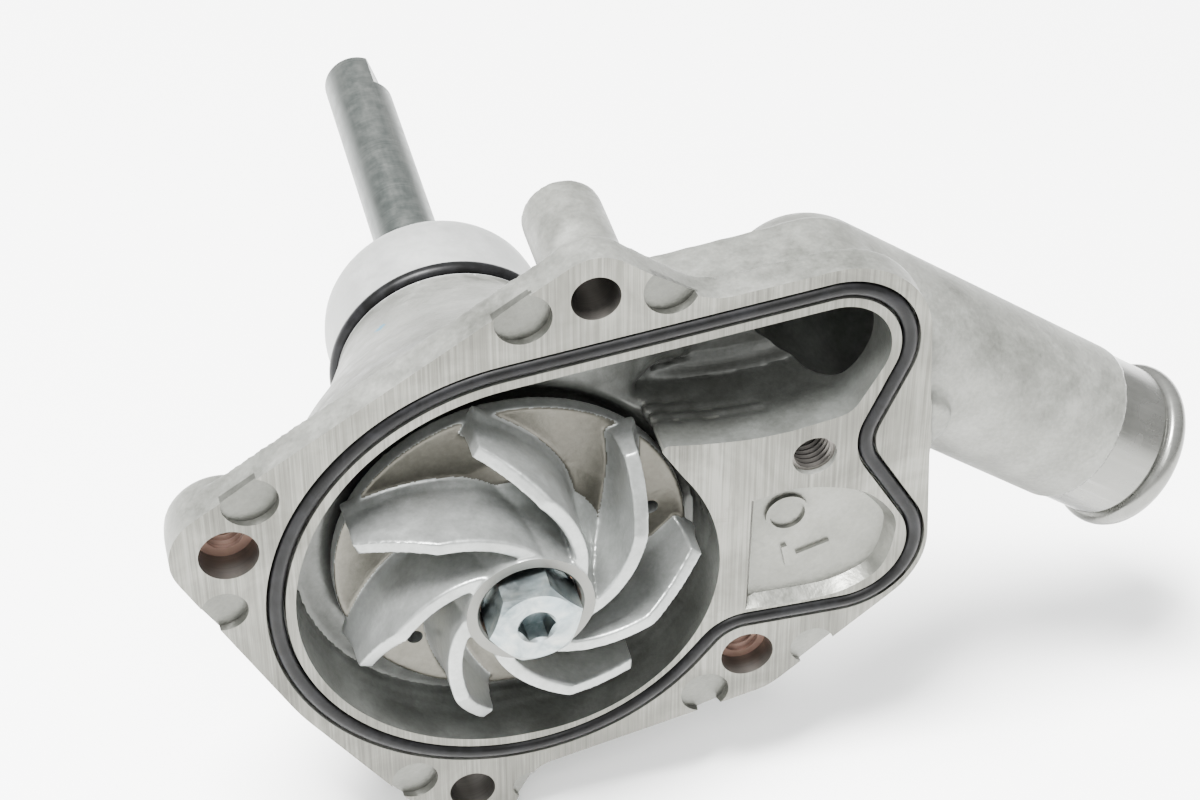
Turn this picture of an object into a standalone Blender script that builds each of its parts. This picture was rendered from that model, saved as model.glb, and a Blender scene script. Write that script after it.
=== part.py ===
"""Coolant pump: cast housing with hose neck, impeller, shaft, seals and bearings.

Frame: the shaft turns about the Y axis. The cover face lies in the plane y = 0 and looks
towards -Y, the bearing hub and the drive end of the shaft point to +Y, and Z is up.
All sizes below are millimetres; MM turns them into Blender's metres.
"""
import math

import bmesh
import bpy
from mathutils import Matrix, Vector

MM = 0.001
CLEAR = 0.3                     # gap left between separate pieces that touch in real life

# Casting, seen from the cover side
FLANGE_THICKNESS = 5.0
SEAL_GROOVE_HALF = 1.3
SEAL_GROOVE_DEPTH = 2.0
SEAL_CORD = 2.0                 # diameter of the cover seal
LAND = 1.3                      # flat between the groove and the opening
CHAMBER_DEPTH = 9.6
CHANNEL_DEPTH = 15.5
HUB_RADIUS = 16.4
HUB_END = 63.5
HUB_SEAL_Y = 48.0
HUB_SEAL_CORD = 2.2

# Centreline of the cover seal: circles joined by tangent lines, x, z, radius.
# A negative radius is a circle that the seal passes on its outer side.
SEAL_PATH = (
    (44.6, -4.0, 10.2),         # lower lobe
    (54.5, 14.3, -7.7),         # waist between the lobes
    (42.0, 29.7, 9.85),         # round the outlet port
    (2.62, -0.35, 35.05),       # volute, upper left
    (-0.75, 0.2, 31.65),        # volute, lower left
    (31.4, -20.9, -6.6),        # round the lower right hole
)
FLANGE_PATH = (
    (44.4, -4.4, 12.2),
    (42.2, 30.4, 12.4),
    (27.0, 49.2, -8.0),
    (10.2, 44.0, 6.1),
    (-37.6, 12.2, 7.6),
    (-0.75, 0.2, 34.7),
    (-7.6, -38.0, 7.2),
    (4.4, -39.0, -4.0),
    (31.5, -20.9, 7.5),
)

# Fixing holes: x, z
LEFT_HOLE = (-37.6, 12.2)
TOP_HOLE = (10.2, 44.0)
BOTTOM_HOLE = (-7.6, -38.0)
LOWER_RIGHT_HOLE = (31.6, -20.9)
WEB_HOLE = (39.7, 13.0)
THROUGH_HOLE_RADIUS = 3.2
THREAD_RADIUS = 2.6
COUNTERBORE_RADIUS = 3.9
BOSS_DEPTH = 9.0
POST_RADIUS = 5.2
POST_END = 19.0

# Ejector marks on the cover face: x, z, radius
FACE_PADS = (
    (-34.3, 20.3, 3.7), (-38.9, 2.8, 3.1), (1.0, 42.4, 3.7), (19.8, 43.6, 3.6),
    (41.0, -21.4, 3.1), (25.7, -26.9, 3.4), (-15.6, -34.0, 3.2), (0.6, -39.1, 2.4),
)
SIDE_PAD = (55.2, 14.9, 3.3)
PAD_DEPTH = 0.5

# Hose neck, in the plane y = NECK_Y, running down to the right
NECK_Y = 14.0
NECK_START = (42.0, 28.2)
NECK_ANGLE = math.radians(35.5)
NECK_LENGTH = 61.6
NECK_RADIUS = 11.4
NECK_SEAT_RADIUS = 11.0         # machined length that the hose slides over
NECK_SEAT_LENGTH = 12.0
NECK_BEAD_RADIUS = 12.0
NECK_BORE_RADIUS = 8.3

# Rotor
SHAFT_RADIUS = 5.0
SHAFT_FRONT = 1.1
SHAFT_END = 126.0
DRIVE_FLAT_LENGTH = 8.5
DRIVE_FLAT_DEPTH = 1.5
DRIVE_FLAT_ANGLE = math.radians(20)
IMPELLER_RADIUS = 24.0
DISC_FRONT = 5.8
DISC_BACK = 8.2
VANES = 7
VANE_FIRST_TIP = math.radians(1.0)
VANE_TWIST = math.radians(65.0)     # turn of a vane for each unit of ln(radius)
VANE_THICKNESS = 1.3
VANE_TOP = -5.4
VANE_SHOULDER_RADIUS = 17.2         # the top edge slopes down outside this radius
HUB_RING_FRONT = -6.0
HUB_RING_RADIUS = 8.3
BOLT_FRONT = -9.55
BOLT_HEX = 11.0                     # across flats
BOLT_SOCKET_HEX = 4.4
BOLT_RECESS_RADIUS = 6.8
WASHER_SEAT = -1.4

# Positions along the shaft, behind the impeller
SEAL_BORE = (16.0, 22.5, 12.3)      # from, to, radius
OIL_SEAL = (26.2, 31.7)
BEARING_FRONT_CENTRE = 39.0
BEARING_REAR_CENTRE = 53.0
BEARING_WIDTH = 6.0
BEARING_OUTER_RADIUS = 11.0
BALL_RADIUS = 1.5875
BALL_PITCH_RADIUS = 8.0
BALLS = 9

ARC_STEP = math.radians(12)
TURN_STEPS = 32
WELD = 0.000001                 # metres

collection = None
cutters = None
materials = {}


def clear_scene():
    for thing in list(bpy.data.objects):
        bpy.data.objects.remove(thing, do_unlink=True)


def make_collection(name):
    made = bpy.data.collections.new(name)
    bpy.context.scene.collection.children.link(made)
    return made


def make_material(name, colour, metallic, roughness):
    made = bpy.data.materials.new(name)
    made.use_nodes = True
    shader = made.node_tree.nodes["Principled BSDF"]
    shader.inputs["Base Color"].default_value = (*colour, 1.0)
    shader.inputs["Metallic"].default_value = metallic
    shader.inputs["Roughness"].default_value = roughness
    made.diffuse_color = (*colour, 1.0)
    materials[name] = made


# ---------------------------------------------------------------- outlines

def arc(x, z, radius, start, end, step=ARC_STEP):
    count = max(1, math.ceil(abs(end - start) / step))
    angles = [start + (end - start) * i / count for i in range(count + 1)]
    return [(x + radius * math.cos(a), z + radius * math.sin(a)) for a in angles]


def tangent_angle(first, second):
    """Direction of the outward normal of the common tangent line, going counter-clockwise."""
    dx, dz = second[0] - first[0], second[1] - first[1]
    return math.atan2(dz, dx) - math.acos((first[2] - second[2]) / math.hypot(dx, dz))


def belt(circles, offset=0.0, step=ARC_STEP):
    """Closed outline round circles (x, z, signed radius) and the tangent lines that join them."""
    grown = [(x, z, r + offset) for x, z, r in circles]
    points = []
    for i, (x, z, radius) in enumerate(grown):
        start = tangent_angle(grown[i - 1], grown[i])
        end = tangent_angle(grown[i], grown[(i + 1) % len(grown)])
        turn = (end - start) % math.tau
        if radius < 0:
            turn -= math.tau
        points += arc(x, z, radius, start, start + turn, step)
    return points


def smooth_points(points, parts=4):
    """Points on a Catmull-Rom curve through the given points, ends included."""
    line = [Vector(p) for p in points]
    line = [2 * line[0] - line[1]] + line + [2 * line[-1] - line[-2]]
    result = []
    for a, b, c, d in zip(line, line[1:], line[2:], line[3:]):
        for i in range(parts):
            t = i / parts
            result.append(0.5 * (2 * b + (c - a) * t + (2 * a - 5 * b + 4 * c - d) * t * t
                                 + (3 * b - a - 3 * c + d) * t ** 3))
    result.append(line[-2])
    return [tuple(p) for p in result]


PORT_CORNER = (42.2, 22.6, 3.6)
OPENING_INSET = SEAL_GROOVE_HALF + LAND
TONGUE = (18.2, 18.9)


def inset_circle(index):
    x, z, radius = SEAL_PATH[index]
    return x, z, radius - OPENING_INSET


def port_arc(inset=0.0):
    """Round end of the outlet channel, counter-clockwise."""
    port, upper = inset_circle(2), inset_circle(3)
    start, end = tangent_angle(PORT_CORNER, port), tangent_angle(port, upper)
    return arc(port[0], port[1], port[2] - inset, start, start + (end - start) % math.tau)


def channel_floor_edge(inset=0.0):
    """Lower edge of the channel, from the tongue to the port."""
    edge = smooth_points((TONGUE, (24.0, 18.1), (30.7, 17.6), (36.4, 17.9)))
    x, z, radius = PORT_CORNER
    edge = [(px, pz + inset) for px, pz in edge]
    return edge + arc(x, z, radius - inset, math.radians(-80), tangent_angle(PORT_CORNER, inset_circle(2)))


def opening_outline():
    """Edge of the opening in the cover face: outlet channel, volute and tongue."""
    port, upper, lower = inset_circle(2), inset_circle(3), inset_circle(4)
    right = (1.2, -2.8, 26.0)
    start = tangent_angle(port, upper) % math.tau
    middle = tangent_angle(upper, lower) % math.tau
    end = tangent_angle(lower, right) % math.tau
    points = port_arc()
    points += arc(*upper, start, middle)
    points += arc(*lower, middle, end)
    points += arc(*right, end, math.radians(400))[:-1]
    return points + channel_floor_edge()


def channel_outline():
    """The deeper part of the opening, from beside the tongue to the port."""
    return port_arc(0.2) + [(13.5, 33.0), (13.5, 22.0)] + channel_floor_edge(0.2)


# ---------------------------------------------------------------- solids

def link(name, mesh, material=None, cutter=False):
    thing = bpy.data.objects.new(name, mesh)
    if cutter:
        cutters.objects.link(thing)
        thing.hide_render = True
        thing.display_type = "WIRE"
    else:
        collection.objects.link(thing)
    if material:
        mesh.materials.append(materials[material])
    return thing


def smooth_shading(thing, angle=40):
    mesh = thing.data
    mesh.shade_smooth()
    mesh.set_sharp_from_angle(angle=math.radians(angle))


def prism(name, outlines, front, back, material=None, cutter=False):
    """Solid between the planes y = front and y = back; a second outline is a hole."""
    curve = bpy.data.curves.new(name + "_outline", "CURVE")
    curve.dimensions = "2D"
    curve.fill_mode = "BOTH"
    curve.extrude = (back - front) / 2 * MM
    curve.resolution_u = 1
    curve.render_resolution_u = 0
    for outline in outlines:
        spline = curve.splines.new("POLY")
        spline.points.add(len(outline) - 1)
        for point, (x, z) in zip(spline.points, outline):
            point.co = (x * MM, z * MM, 0, 1)
        spline.use_cyclic_u = True
    guide = bpy.data.objects.new(name + "_guide", curve)
    guide.matrix_world = (Matrix.Translation((0, (front + back) / 2 * MM, 0))
                          @ Matrix.Rotation(math.pi / 2, 4, "X"))
    return curve_to_mesh(guide, name, material, cutter)


def curve_to_mesh(guide, name, material=None, cutter=False):
    """Turn a curve into a mesh whose caps are welded on."""
    cutters.objects.link(guide)
    bpy.context.view_layer.update()
    seen = guide.evaluated_get(bpy.context.evaluated_depsgraph_get())
    mesh = bpy.data.meshes.new_from_object(seen)
    mesh.materials.clear()
    shape = bmesh.new()
    shape.from_mesh(mesh)
    bmesh.ops.remove_doubles(shape, verts=shape.verts, dist=WELD)
    bmesh.ops.recalc_face_normals(shape, faces=shape.faces)
    shape.to_mesh(mesh)
    shape.free()
    made = link(name, mesh, material, cutter)
    made.matrix_world = guide.matrix_world.copy()
    bpy.data.objects.remove(guide, do_unlink=True)
    return made


ALONG_SHAFT = Matrix.Rotation(-math.pi / 2, 4, "X")


def turned(name, profile, material=None, cutter=False, place=ALONG_SHAFT, steps=TURN_STEPS, closed=True):
    """Turn a profile of (radius, height) points about the local Z axis, which place lays down."""
    mesh = bpy.data.meshes.new(name)
    points = [(radius * MM, 0, height * MM) for radius, height in profile]
    count = len(points)
    edges = [(i, i + 1) for i in range(count - 1)]
    if closed:
        edges.append((count - 1, 0))
    mesh.from_pydata(points, edges, [])
    made = link(name, mesh, material, cutter)
    made.matrix_world = place
    screw = made.modifiers.new("Turn", "SCREW")
    screw.axis = "Z"
    screw.steps = steps
    screw.render_steps = steps
    screw.use_merge_vertices = True
    screw.merge_threshold = 0.00001
    screw.use_smooth_shade = True
    return made


def ring_profile(inner, outer, low, high):
    return [(outer, high), (outer, low), (inner, low), (inner, high)]


def rod(name, x, z, radius, front, back, material=None, cutter=False, sides=20, edge=0.0):
    """Round bar along Y, with an optional bevel of the edge at its back end."""
    profile = [(0, back), (radius - edge, back)]
    if edge:
        profile += [(radius - edge * (1 - math.sin(a)), back - edge * (1 - math.cos(a)))
                    for a in (math.pi / 4, math.pi / 2)]
    profile += [(radius, front), (0, front)]
    place = Matrix.Translation((x * MM, 0, z * MM)) @ ALONG_SHAFT
    return turned(name, profile, material, cutter, place, sides, closed=False)


def hexagon(across, centre=(0.0, 0.0), turn=0.0):
    radius = across / 2 / math.cos(math.pi / 6)
    return [(centre[0] + radius * math.cos(turn + i * math.pi / 3),
             centre[1] + radius * math.sin(turn + i * math.pi / 3)) for i in range(6)]


def boolean(target, tools, operation, solver="EXACT"):
    """Join or cut with each tool in turn."""
    for tool in tools:
        change = target.modifiers.new(tool.name, "BOOLEAN")
        change.operation = operation
        change.solver = solver
        change.object = tool


def tube_along(name, points, diameter, material, cyclic=False, sides=2):
    """Round wire through points, as a polyline with a bevel."""
    curve = bpy.data.curves.new(name, "CURVE")
    curve.dimensions = "3D"
    curve.bevel_depth = diameter / 2 * MM
    curve.bevel_resolution = sides
    curve.use_fill_caps = not cyclic
    curve.resolution_u = 1
    curve.render_resolution_u = 0
    spline = curve.splines.new("POLY")
    spline.points.add(len(points) - 1)
    for point, place in zip(spline.points, points):
        point.co = (*(c * MM for c in place), 1)
    spline.use_cyclic_u = cyclic
    guide = bpy.data.objects.new(name + "_guide", curve)
    return curve_to_mesh(guide, name, material)


# ---------------------------------------------------------------- housing

def neck_matrix():
    """Local Z runs from the elbow down the hose neck."""
    direction = Vector((math.cos(NECK_ANGLE), 0, -math.sin(NECK_ANGLE)))
    start = Vector((NECK_START[0] * MM, NECK_Y * MM, NECK_START[1] * MM))
    return Matrix.Translation(start) @ direction.to_track_quat("Z", "Y").to_matrix().to_4x4()


def quarter(radius, count=5):
    """Profile points of a ball end, from the pole to the side."""
    return [(radius * math.sin(a), -radius * math.cos(a))
            for a in (math.pi / 2 * i / count for i in range(count + 1))]


def hose_neck():
    seat = NECK_LENGTH - NECK_SEAT_LENGTH
    end = NECK_LENGTH
    outer = quarter(NECK_RADIUS) + [
        (NECK_RADIUS, seat - 0.6), (NECK_SEAT_RADIUS, seat), (NECK_SEAT_RADIUS, end - 4.0),
        (NECK_BEAD_RADIUS - 0.2, end - 3.0), (NECK_BEAD_RADIUS, end - 2.2), (NECK_BEAD_RADIUS - 0.2, end - 1.4),
        (NECK_SEAT_RADIUS, end - 0.5), (NECK_SEAT_RADIUS - 0.5, end), (0, end)]
    return turned("neck_body", outer[::-1], cutter=True, place=neck_matrix(), steps=28, closed=False)


def neck_bore():
    inner = quarter(NECK_BORE_RADIUS, 4) + [(NECK_BORE_RADIUS, NECK_LENGTH - 0.6),
                                            (NECK_BORE_RADIUS + 0.6, NECK_LENGTH),
                                            (NECK_BORE_RADIUS + 0.6, NECK_LENGTH + 2), (0, NECK_LENGTH + 2)]
    return turned("neck_bore", inner[::-1], cutter=True, place=neck_matrix(), steps=28, closed=False)


def housing_cone():
    groove = HUB_SEAL_CORD / 2 + CLEAR
    floor = HUB_RADIUS - 1.6
    cone = [(32.4, 1.0), (33.3, 5.6), (33.6, 8.0), (32.0, 13.0), (29.8, 18.0), (27.4, 23.0), (24.5, 28.0), (21.8, 33.0),
            (19.6, 38.0), (17.6, 43.0), (HUB_RADIUS, 46.0), (HUB_RADIUS, HUB_SEAL_Y - groove),
            (floor, HUB_SEAL_Y - groove), (floor, HUB_SEAL_Y + groove), (HUB_RADIUS, HUB_SEAL_Y + groove),
            (HUB_RADIUS, 57.5), (15.9, 60.3), (14.9, 62.3), (13.4, HUB_END)]
    return turned("housing_cone", [(0, HUB_END)] + cone[::-1] + [(0, 1.0)], cutter=True, closed=False)


def shaft_bore():
    """Bowl behind the impeller, then the bores for the two seals and the bearings."""
    start, end, radius = SEAL_BORE
    bearing = BEARING_OUTER_RADIUS + CLEAR
    bore = [(24.9, CHAMBER_DEPTH - 1), (24.9, CHAMBER_DEPTH - 0.3), (21.5, 13.2), (16.2, start), (radius, start),
            (radius, end), (10.0, end), (10.0, 32.0), (7.6, 32.0), (7.6, 35.7), (bearing, 35.7),
            (bearing, 56.3), (bearing + 0.9, 56.3), (bearing + 0.9, 57.9), (bearing, 57.9),
            (bearing, HUB_END - 0.7), (bearing + 0.8, HUB_END + 0.1), (bearing + 0.8, HUB_END + 2)]
    return turned("shaft_bore", [(0, HUB_END + 2)] + bore[::-1] + [(0, CHAMBER_DEPTH - 1)],
                  cutter=True, closed=False)


def lower_pocket():
    outline = smooth_points(((31.2, 7.0), (37.9, 8.0), (46.3, 5.9), (50.9, 1.6), (52.0, -2.5), (50.4, -8.6),
                             (46.6, -11.4), (41.5, -12.6), (31.0, -12.6)), 3)
    return prism("lower_pocket", [outline], -1, 1.8, cutter=True)


def make_housing():
    flange = belt(FLANGE_PATH)
    housing = prism("pump_housing", [flange], 0, FLANGE_THICKNESS, "cast_aluminium")
    channel = belt(((42.6, 22.6, 5.6), (42.0, 29.7, 10.2), (14.0, 26.2, 10.2), (16.0, 22.0, 6.6)))
    solids = [
        housing_cone(),
        prism("channel_body", [channel], 1.3, CHANNEL_DEPTH + 3.0, cutter=True),
        hose_neck(),
        rod("left_boss", *LEFT_HOLE, 7.4, 1.6, BOSS_DEPTH, cutter=True, edge=3.0),
        rod("lower_right_boss", *LOWER_RIGHT_HOLE, 7.3, 1.9, BOSS_DEPTH, cutter=True, edge=2.0),
        rod("bottom_boss", *BOTTOM_HOLE, 7.0, 2.2, BOSS_DEPTH, cutter=True, edge=2.0),
        rod("top_post", *TOP_HOLE, POST_RADIUS, 2.5, POST_END, cutter=True, edge=0.8),
        rod("web_boss", *WEB_HOLE, 5.4, 2.8, 12.0, cutter=True, sides=16),
        rod("side_pad_boss", SIDE_PAD[0], SIDE_PAD[1], SIDE_PAD[2] + 0.5, PAD_DEPTH, 8.0, cutter=True, sides=16),
    ]
    boolean(housing, solids, "UNION", "MANIFOLD")

    groove = [belt(SEAL_PATH, SEAL_GROOVE_HALF), belt(SEAL_PATH, -SEAL_GROOVE_HALF)]
    cuts = [
        rod("web_thread", *WEB_HOLE, THREAD_RADIUS, -1, 9.0, cutter=True, sides=16),
        prism("opening", [opening_outline()], -1, CHAMBER_DEPTH, cutter=True),
        prism("channel", [channel_outline()], CHAMBER_DEPTH - 1.7, CHANNEL_DEPTH, cutter=True),
        shaft_bore(),
        weep_hole(),
        neck_bore(),
        prism("seal_groove", groove, -1, SEAL_GROOVE_DEPTH, cutter=True),
        lower_pocket(),
        rod("top_hole", *TOP_HOLE, THROUGH_HOLE_RADIUS, -1, POST_END + 1, cutter=True, sides=16),
        rod("bottom_hole", *BOTTOM_HOLE, THROUGH_HOLE_RADIUS, -1, BOSS_DEPTH + 1, cutter=True, sides=16),
        rod("left_thread", *LEFT_HOLE, THREAD_RADIUS, -1, BOSS_DEPTH + 1, cutter=True, sides=16),
        rod("left_counterbore", *LEFT_HOLE, COUNTERBORE_RADIUS, -1, 4.5, cutter=True, sides=16),
        rod("lower_right_thread", *LOWER_RIGHT_HOLE, THREAD_RADIUS, -1, BOSS_DEPTH + 1, cutter=True, sides=16),
        rod("lower_right_counterbore", *LOWER_RIGHT_HOLE, COUNTERBORE_RADIUS - 0.2, -1, 3.5, cutter=True, sides=16),
    ]
    for i, (x, z, radius) in enumerate(FACE_PADS):
        cuts.append(rod(f"face_pad_{i + 1}", x, z, radius, -1, PAD_DEPTH, cutter=True, sides=16))
    boolean(housing, cuts, "DIFFERENCE", "MANIFOLD")
    smooth_shading(housing, 35)


def weep_hole():
    """Drain from the gap between the two shaft seals down to the outside."""
    place = Matrix.Translation((0, 24.3 * MM, 0)) @ Matrix.Rotation(math.pi, 4, "X")
    return turned("weep_hole", [(0, 32), (1.6, 32), (1.6, 5), (0, 5)], cutter=True, place=place, steps=12,
                  closed=False)


def make_seals_of_housing():
    outline = belt(SEAL_PATH, 0, math.radians(12))
    centre_y = SEAL_CORD / 2 - CLEAR
    tube_along("cover_seal", [(x, centre_y, z) for x, z in outline], SEAL_CORD, "seal_rubber", cyclic=True)
    bpy.ops.mesh.primitive_torus_add(
        major_radius=(HUB_RADIUS - 0.2) * MM, minor_radius=HUB_SEAL_CORD / 2 * MM,
        major_segments=32, minor_segments=8, location=(0, HUB_SEAL_Y * MM, 0), rotation=(math.pi / 2, 0, 0))
    ring = bpy.context.active_object
    ring.name = ring.data.name = "hub_o_ring"
    adopt(ring, "seal_rubber")


def adopt(thing, material):
    """Move an object made by an operator into the model's collection."""
    for owner in list(thing.users_collection):
        owner.objects.unlink(thing)
    collection.objects.link(thing)
    thing.data.materials.append(materials[material])
    smooth_shading(thing)


# ---------------------------------------------------------------- rotor

def vane_angle(radius, tip):
    return tip - VANE_TWIST * math.log(IMPELLER_RADIUS / radius)


def vane_mesh(tip):
    """One blade: a curved wall lofted along a logarithmic spiral."""
    inner = 6.9
    count = 9
    bottom = DISC_FRONT + 0.8
    shape = bmesh.new()
    sections = []
    for i in range(count + 1):
        radius = inner + (IMPELLER_RADIUS - 0.02 - inner) * i / count
        top = VANE_TOP
        if radius > VANE_SHOULDER_RADIUS:
            top += -VANE_TOP * (radius - VANE_SHOULDER_RADIUS) / (IMPELLER_RADIUS - VANE_SHOULDER_RADIUS)
        angle = vane_angle(radius, tip)
        centre = Vector((radius * math.cos(angle), radius * math.sin(angle)))
        ahead = math.atan2(1.0, 1.0 / VANE_TWIST)
        side = Vector((math.cos(angle + ahead + math.pi / 2), math.sin(angle + ahead + math.pi / 2)))
        ring = []
        for height, half in ((top, VANE_THICKNESS / 2), (bottom, VANE_THICKNESS / 2 + 0.5)):
            for sign in (-1, 1):
                spot = centre + sign * half * side
                if i == count:
                    spot = spot * (IMPELLER_RADIUS - 0.02) / spot.length
                ring.append(shape.verts.new((spot.x * MM, height * MM, spot.y * MM)))
        sections.append((ring[0], ring[1], ring[3], ring[2]))
    for first, second in zip(sections, sections[1:]):
        for k in range(4):
            shape.faces.new((first[k], first[(k + 1) % 4], second[(k + 1) % 4], second[k]))
    shape.faces.new(sections[0][::-1])
    shape.faces.new(sections[-1])
    bmesh.ops.recalc_face_normals(shape, faces=shape.faces)
    mesh = bpy.data.meshes.new("vane")
    shape.to_mesh(mesh)
    shape.free()
    return mesh


def make_impeller():
    back_boss = 10.9
    body = [(0, back_boss), (11.2, back_boss), (11.2, DISC_BACK), (IMPELLER_RADIUS, DISC_BACK),
            (IMPELLER_RADIUS, DISC_FRONT), (15.0, DISC_FRONT), (12.2, DISC_FRONT - 1.0), (10.2, 2.0), (9.0, -1.5),
            (HUB_RING_RADIUS, HUB_RING_FRONT + 0.6), (HUB_RING_RADIUS - 0.6, HUB_RING_FRONT), (0, HUB_RING_FRONT)]
    impeller = turned("impeller", body, "cast_aluminium", closed=False)
    vanes = [link(f"vane_{i + 1}", vane_mesh(VANE_FIRST_TIP + i * math.tau / VANES), cutter=True)
             for i in range(VANES)]
    boolean(impeller, vanes, "UNION")
    bore = SHAFT_RADIUS + CLEAR
    recess = [(0, 12), (10.0, 12), (10.0, 7.5), (bore, 7.5), (bore, SHAFT_FRONT - CLEAR),
              (3.4, SHAFT_FRONT - CLEAR), (3.4, WASHER_SEAT), (BOLT_RECESS_RADIUS, WASHER_SEAT),
              (BOLT_RECESS_RADIUS, -12), (0, -12)]
    cuts = [turned("impeller_bore", recess, cutter=True, closed=False)]
    for i, (x, z) in enumerate(((19.0, 3.7), (-13.6, -12.7))):
        cuts.append(rod(f"balance_hole_{i + 1}", x, z, 1.0, 4, 10, cutter=True, sides=12))
    boolean(impeller, cuts, "DIFFERENCE")
    smooth_shading(impeller, 35)


def make_bolt():
    chamfer = BOLT_HEX / 2 - 0.05
    head_back = WASHER_SEAT - 1.6
    corner = BOLT_HEX / 2 / math.cos(math.pi / 6) + 0.1
    bolt = prism("impeller_bolt", [hexagon(BOLT_HEX, turn=math.radians(12))], BOLT_FRONT, head_back, "zinc_steel")
    crown = turned("bolt_crown", [(0, head_back + 1), (corner, head_back + 1), (corner, BOLT_FRONT + 0.7),
                                  (chamfer, BOLT_FRONT - 0.01), (0, BOLT_FRONT - 0.01)],
                   cutter=True, closed=False)
    boolean(bolt, [crown], "INTERSECT")
    shank = rod("bolt_shank", 0, 0, 2.7, head_back - 1, 15.0, cutter=True, sides=24, edge=0.6)
    boolean(bolt, [shank], "UNION")
    socket = prism("bolt_socket", [hexagon(BOLT_SOCKET_HEX, turn=math.radians(4))], BOLT_FRONT - 1,
                   BOLT_FRONT + 3.2, cutter=True)
    boolean(bolt, [socket], "DIFFERENCE")
    turned("bolt_washer", ring_profile(3.1, 6.4, WASHER_SEAT - 1.3, WASHER_SEAT - CLEAR), "copper", steps=24)


def make_shaft():
    clip = SHAFT_RADIUS - 0.6
    outline = [(0, SHAFT_END), (SHAFT_RADIUS - 1.2, SHAFT_END), (SHAFT_RADIUS - 0.3, SHAFT_END - 0.5),
               (SHAFT_RADIUS, SHAFT_END - 1.5)]
    for low, high in ((56.4, 58.0), (34.2, 35.8)):
        outline += [(SHAFT_RADIUS, high), (clip, high), (clip, low), (SHAFT_RADIUS, low)]
    outline += [(SHAFT_RADIUS, SHAFT_FRONT + 0.5), (SHAFT_RADIUS - 0.5, SHAFT_FRONT), (3.0, SHAFT_FRONT),
                (3.0, 16.0), (0, 17.6)]
    shaft = turned("pump_shaft", outline, "dark_steel", closed=False)
    bpy.ops.mesh.primitive_cube_add(size=1)
    block = bpy.context.active_object
    block.name = "drive_flat"
    for owner in list(block.users_collection):
        owner.objects.unlink(block)
    cutters.objects.link(block)
    block.hide_render = True
    block.display_type = "WIRE"
    depth = 6.0
    distance = SHAFT_RADIUS - DRIVE_FLAT_DEPTH + depth / 2
    block.data.transform(Matrix.Diagonal((depth * MM, 2 * DRIVE_FLAT_LENGTH * MM, 14 * MM, 1)))
    block.matrix_world = (Matrix.Translation((0, SHAFT_END * MM, 0))
                          @ Matrix.Rotation(-DRIVE_FLAT_ANGLE, 4, "Y")
                          @ Matrix.Translation((distance * MM, 0, 0)))
    boolean(shaft, [block], "DIFFERENCE")
    turned("spacer_sleeve", ring_profile(5.3, 6.8, 42.3, 49.7), "bearing_steel", steps=24)
    for name, low in (("shaft_circlip_front", 34.5), ("shaft_circlip_rear", 56.7)):
        make_circlip(name, 4.7, 6.6, low, low + 1.0, opening=math.radians(40), facing=math.pi / 2)


def make_circlip(name, inner, outer, low, high, opening, facing):
    """Flat snap ring with a gap."""
    start, end = facing + opening / 2, facing + math.tau - opening / 2
    outline = arc(0, 0, outer, start, end) + arc(0, 0, inner, end, start)
    return prism(name, [outline], low, high, "spring_steel")


# ---------------------------------------------------------------- seals and bearings

def make_mechanical_seal():
    turned("seal_seat_cup", [(9.7, 10.8), (9.7, 7.8), (6.0, 7.8), (6.0, 8.6), (8.9, 8.6), (8.9, 10.8)],
           "seal_rubber", steps=24)
    turned("seal_seat", ring_profile(6.2, 8.6, 8.9, 11.6), "ceramic", steps=24)
    turned("seal_carbon_ring", ring_profile(6.3, 8.2, 11.9, 14.6), "carbon", steps=24)
    turned("seal_bellows", [(9.0, 17.2), (9.0, 14.9), (6.0, 14.9), (6.0, 21.0), (10.9, 21.0), (10.9, 20.0),
                            (7.4, 20.0), (7.4, 17.2)], "seal_rubber", steps=24)
    coil = []
    turns, per_turn, wire = 3, 12, 0.9
    for i in range(turns * per_turn + 1):
        angle = math.tau * i / per_turn
        coil.append((10.2 * math.cos(angle), 15.6 + 3.6 * i / (turns * per_turn), 10.2 * math.sin(angle)))
    spring = tube_along("seal_spring", coil, wire, "spring_steel", sides=1)
    smooth_shading(spring)
    start, end, radius = SEAL_BORE
    outer = radius - CLEAR
    turned("seal_case", [(outer, 22.2), (outer, start - CLEAR), (14.4, start - CLEAR), (14.4, start - CLEAR - 0.7),
                         (outer - 0.7, start - CLEAR - 0.7), (outer - 0.7, 21.4), (6.6, 21.4), (6.6, 22.2)],
           "stainless_steel", steps=24)


def make_oil_seal():
    low, high = OIL_SEAL
    turned("oil_seal", [(9.7, high), (9.7, low), (6.4, low), (5.3, low + 1.4), (5.6, low + 2.2), (5.3, low + 3.0),
                        (6.3, low + 3.6), (6.5, low + 2.0), (7.6, low + 1.2), (8.6, low + 1.2), (8.6, high)],
           "seal_rubber", steps=24)
    bpy.ops.mesh.primitive_torus_add(
        major_radius=7.25 * MM, minor_radius=0.35 * MM, major_segments=24, minor_segments=5,
        location=(0, (low + 2.6) * MM, 0), rotation=(math.pi / 2, 0, 0))
    ring = bpy.context.active_object
    ring.name = ring.data.name = "oil_seal_spring"
    adopt(ring, "spring_steel")


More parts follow.
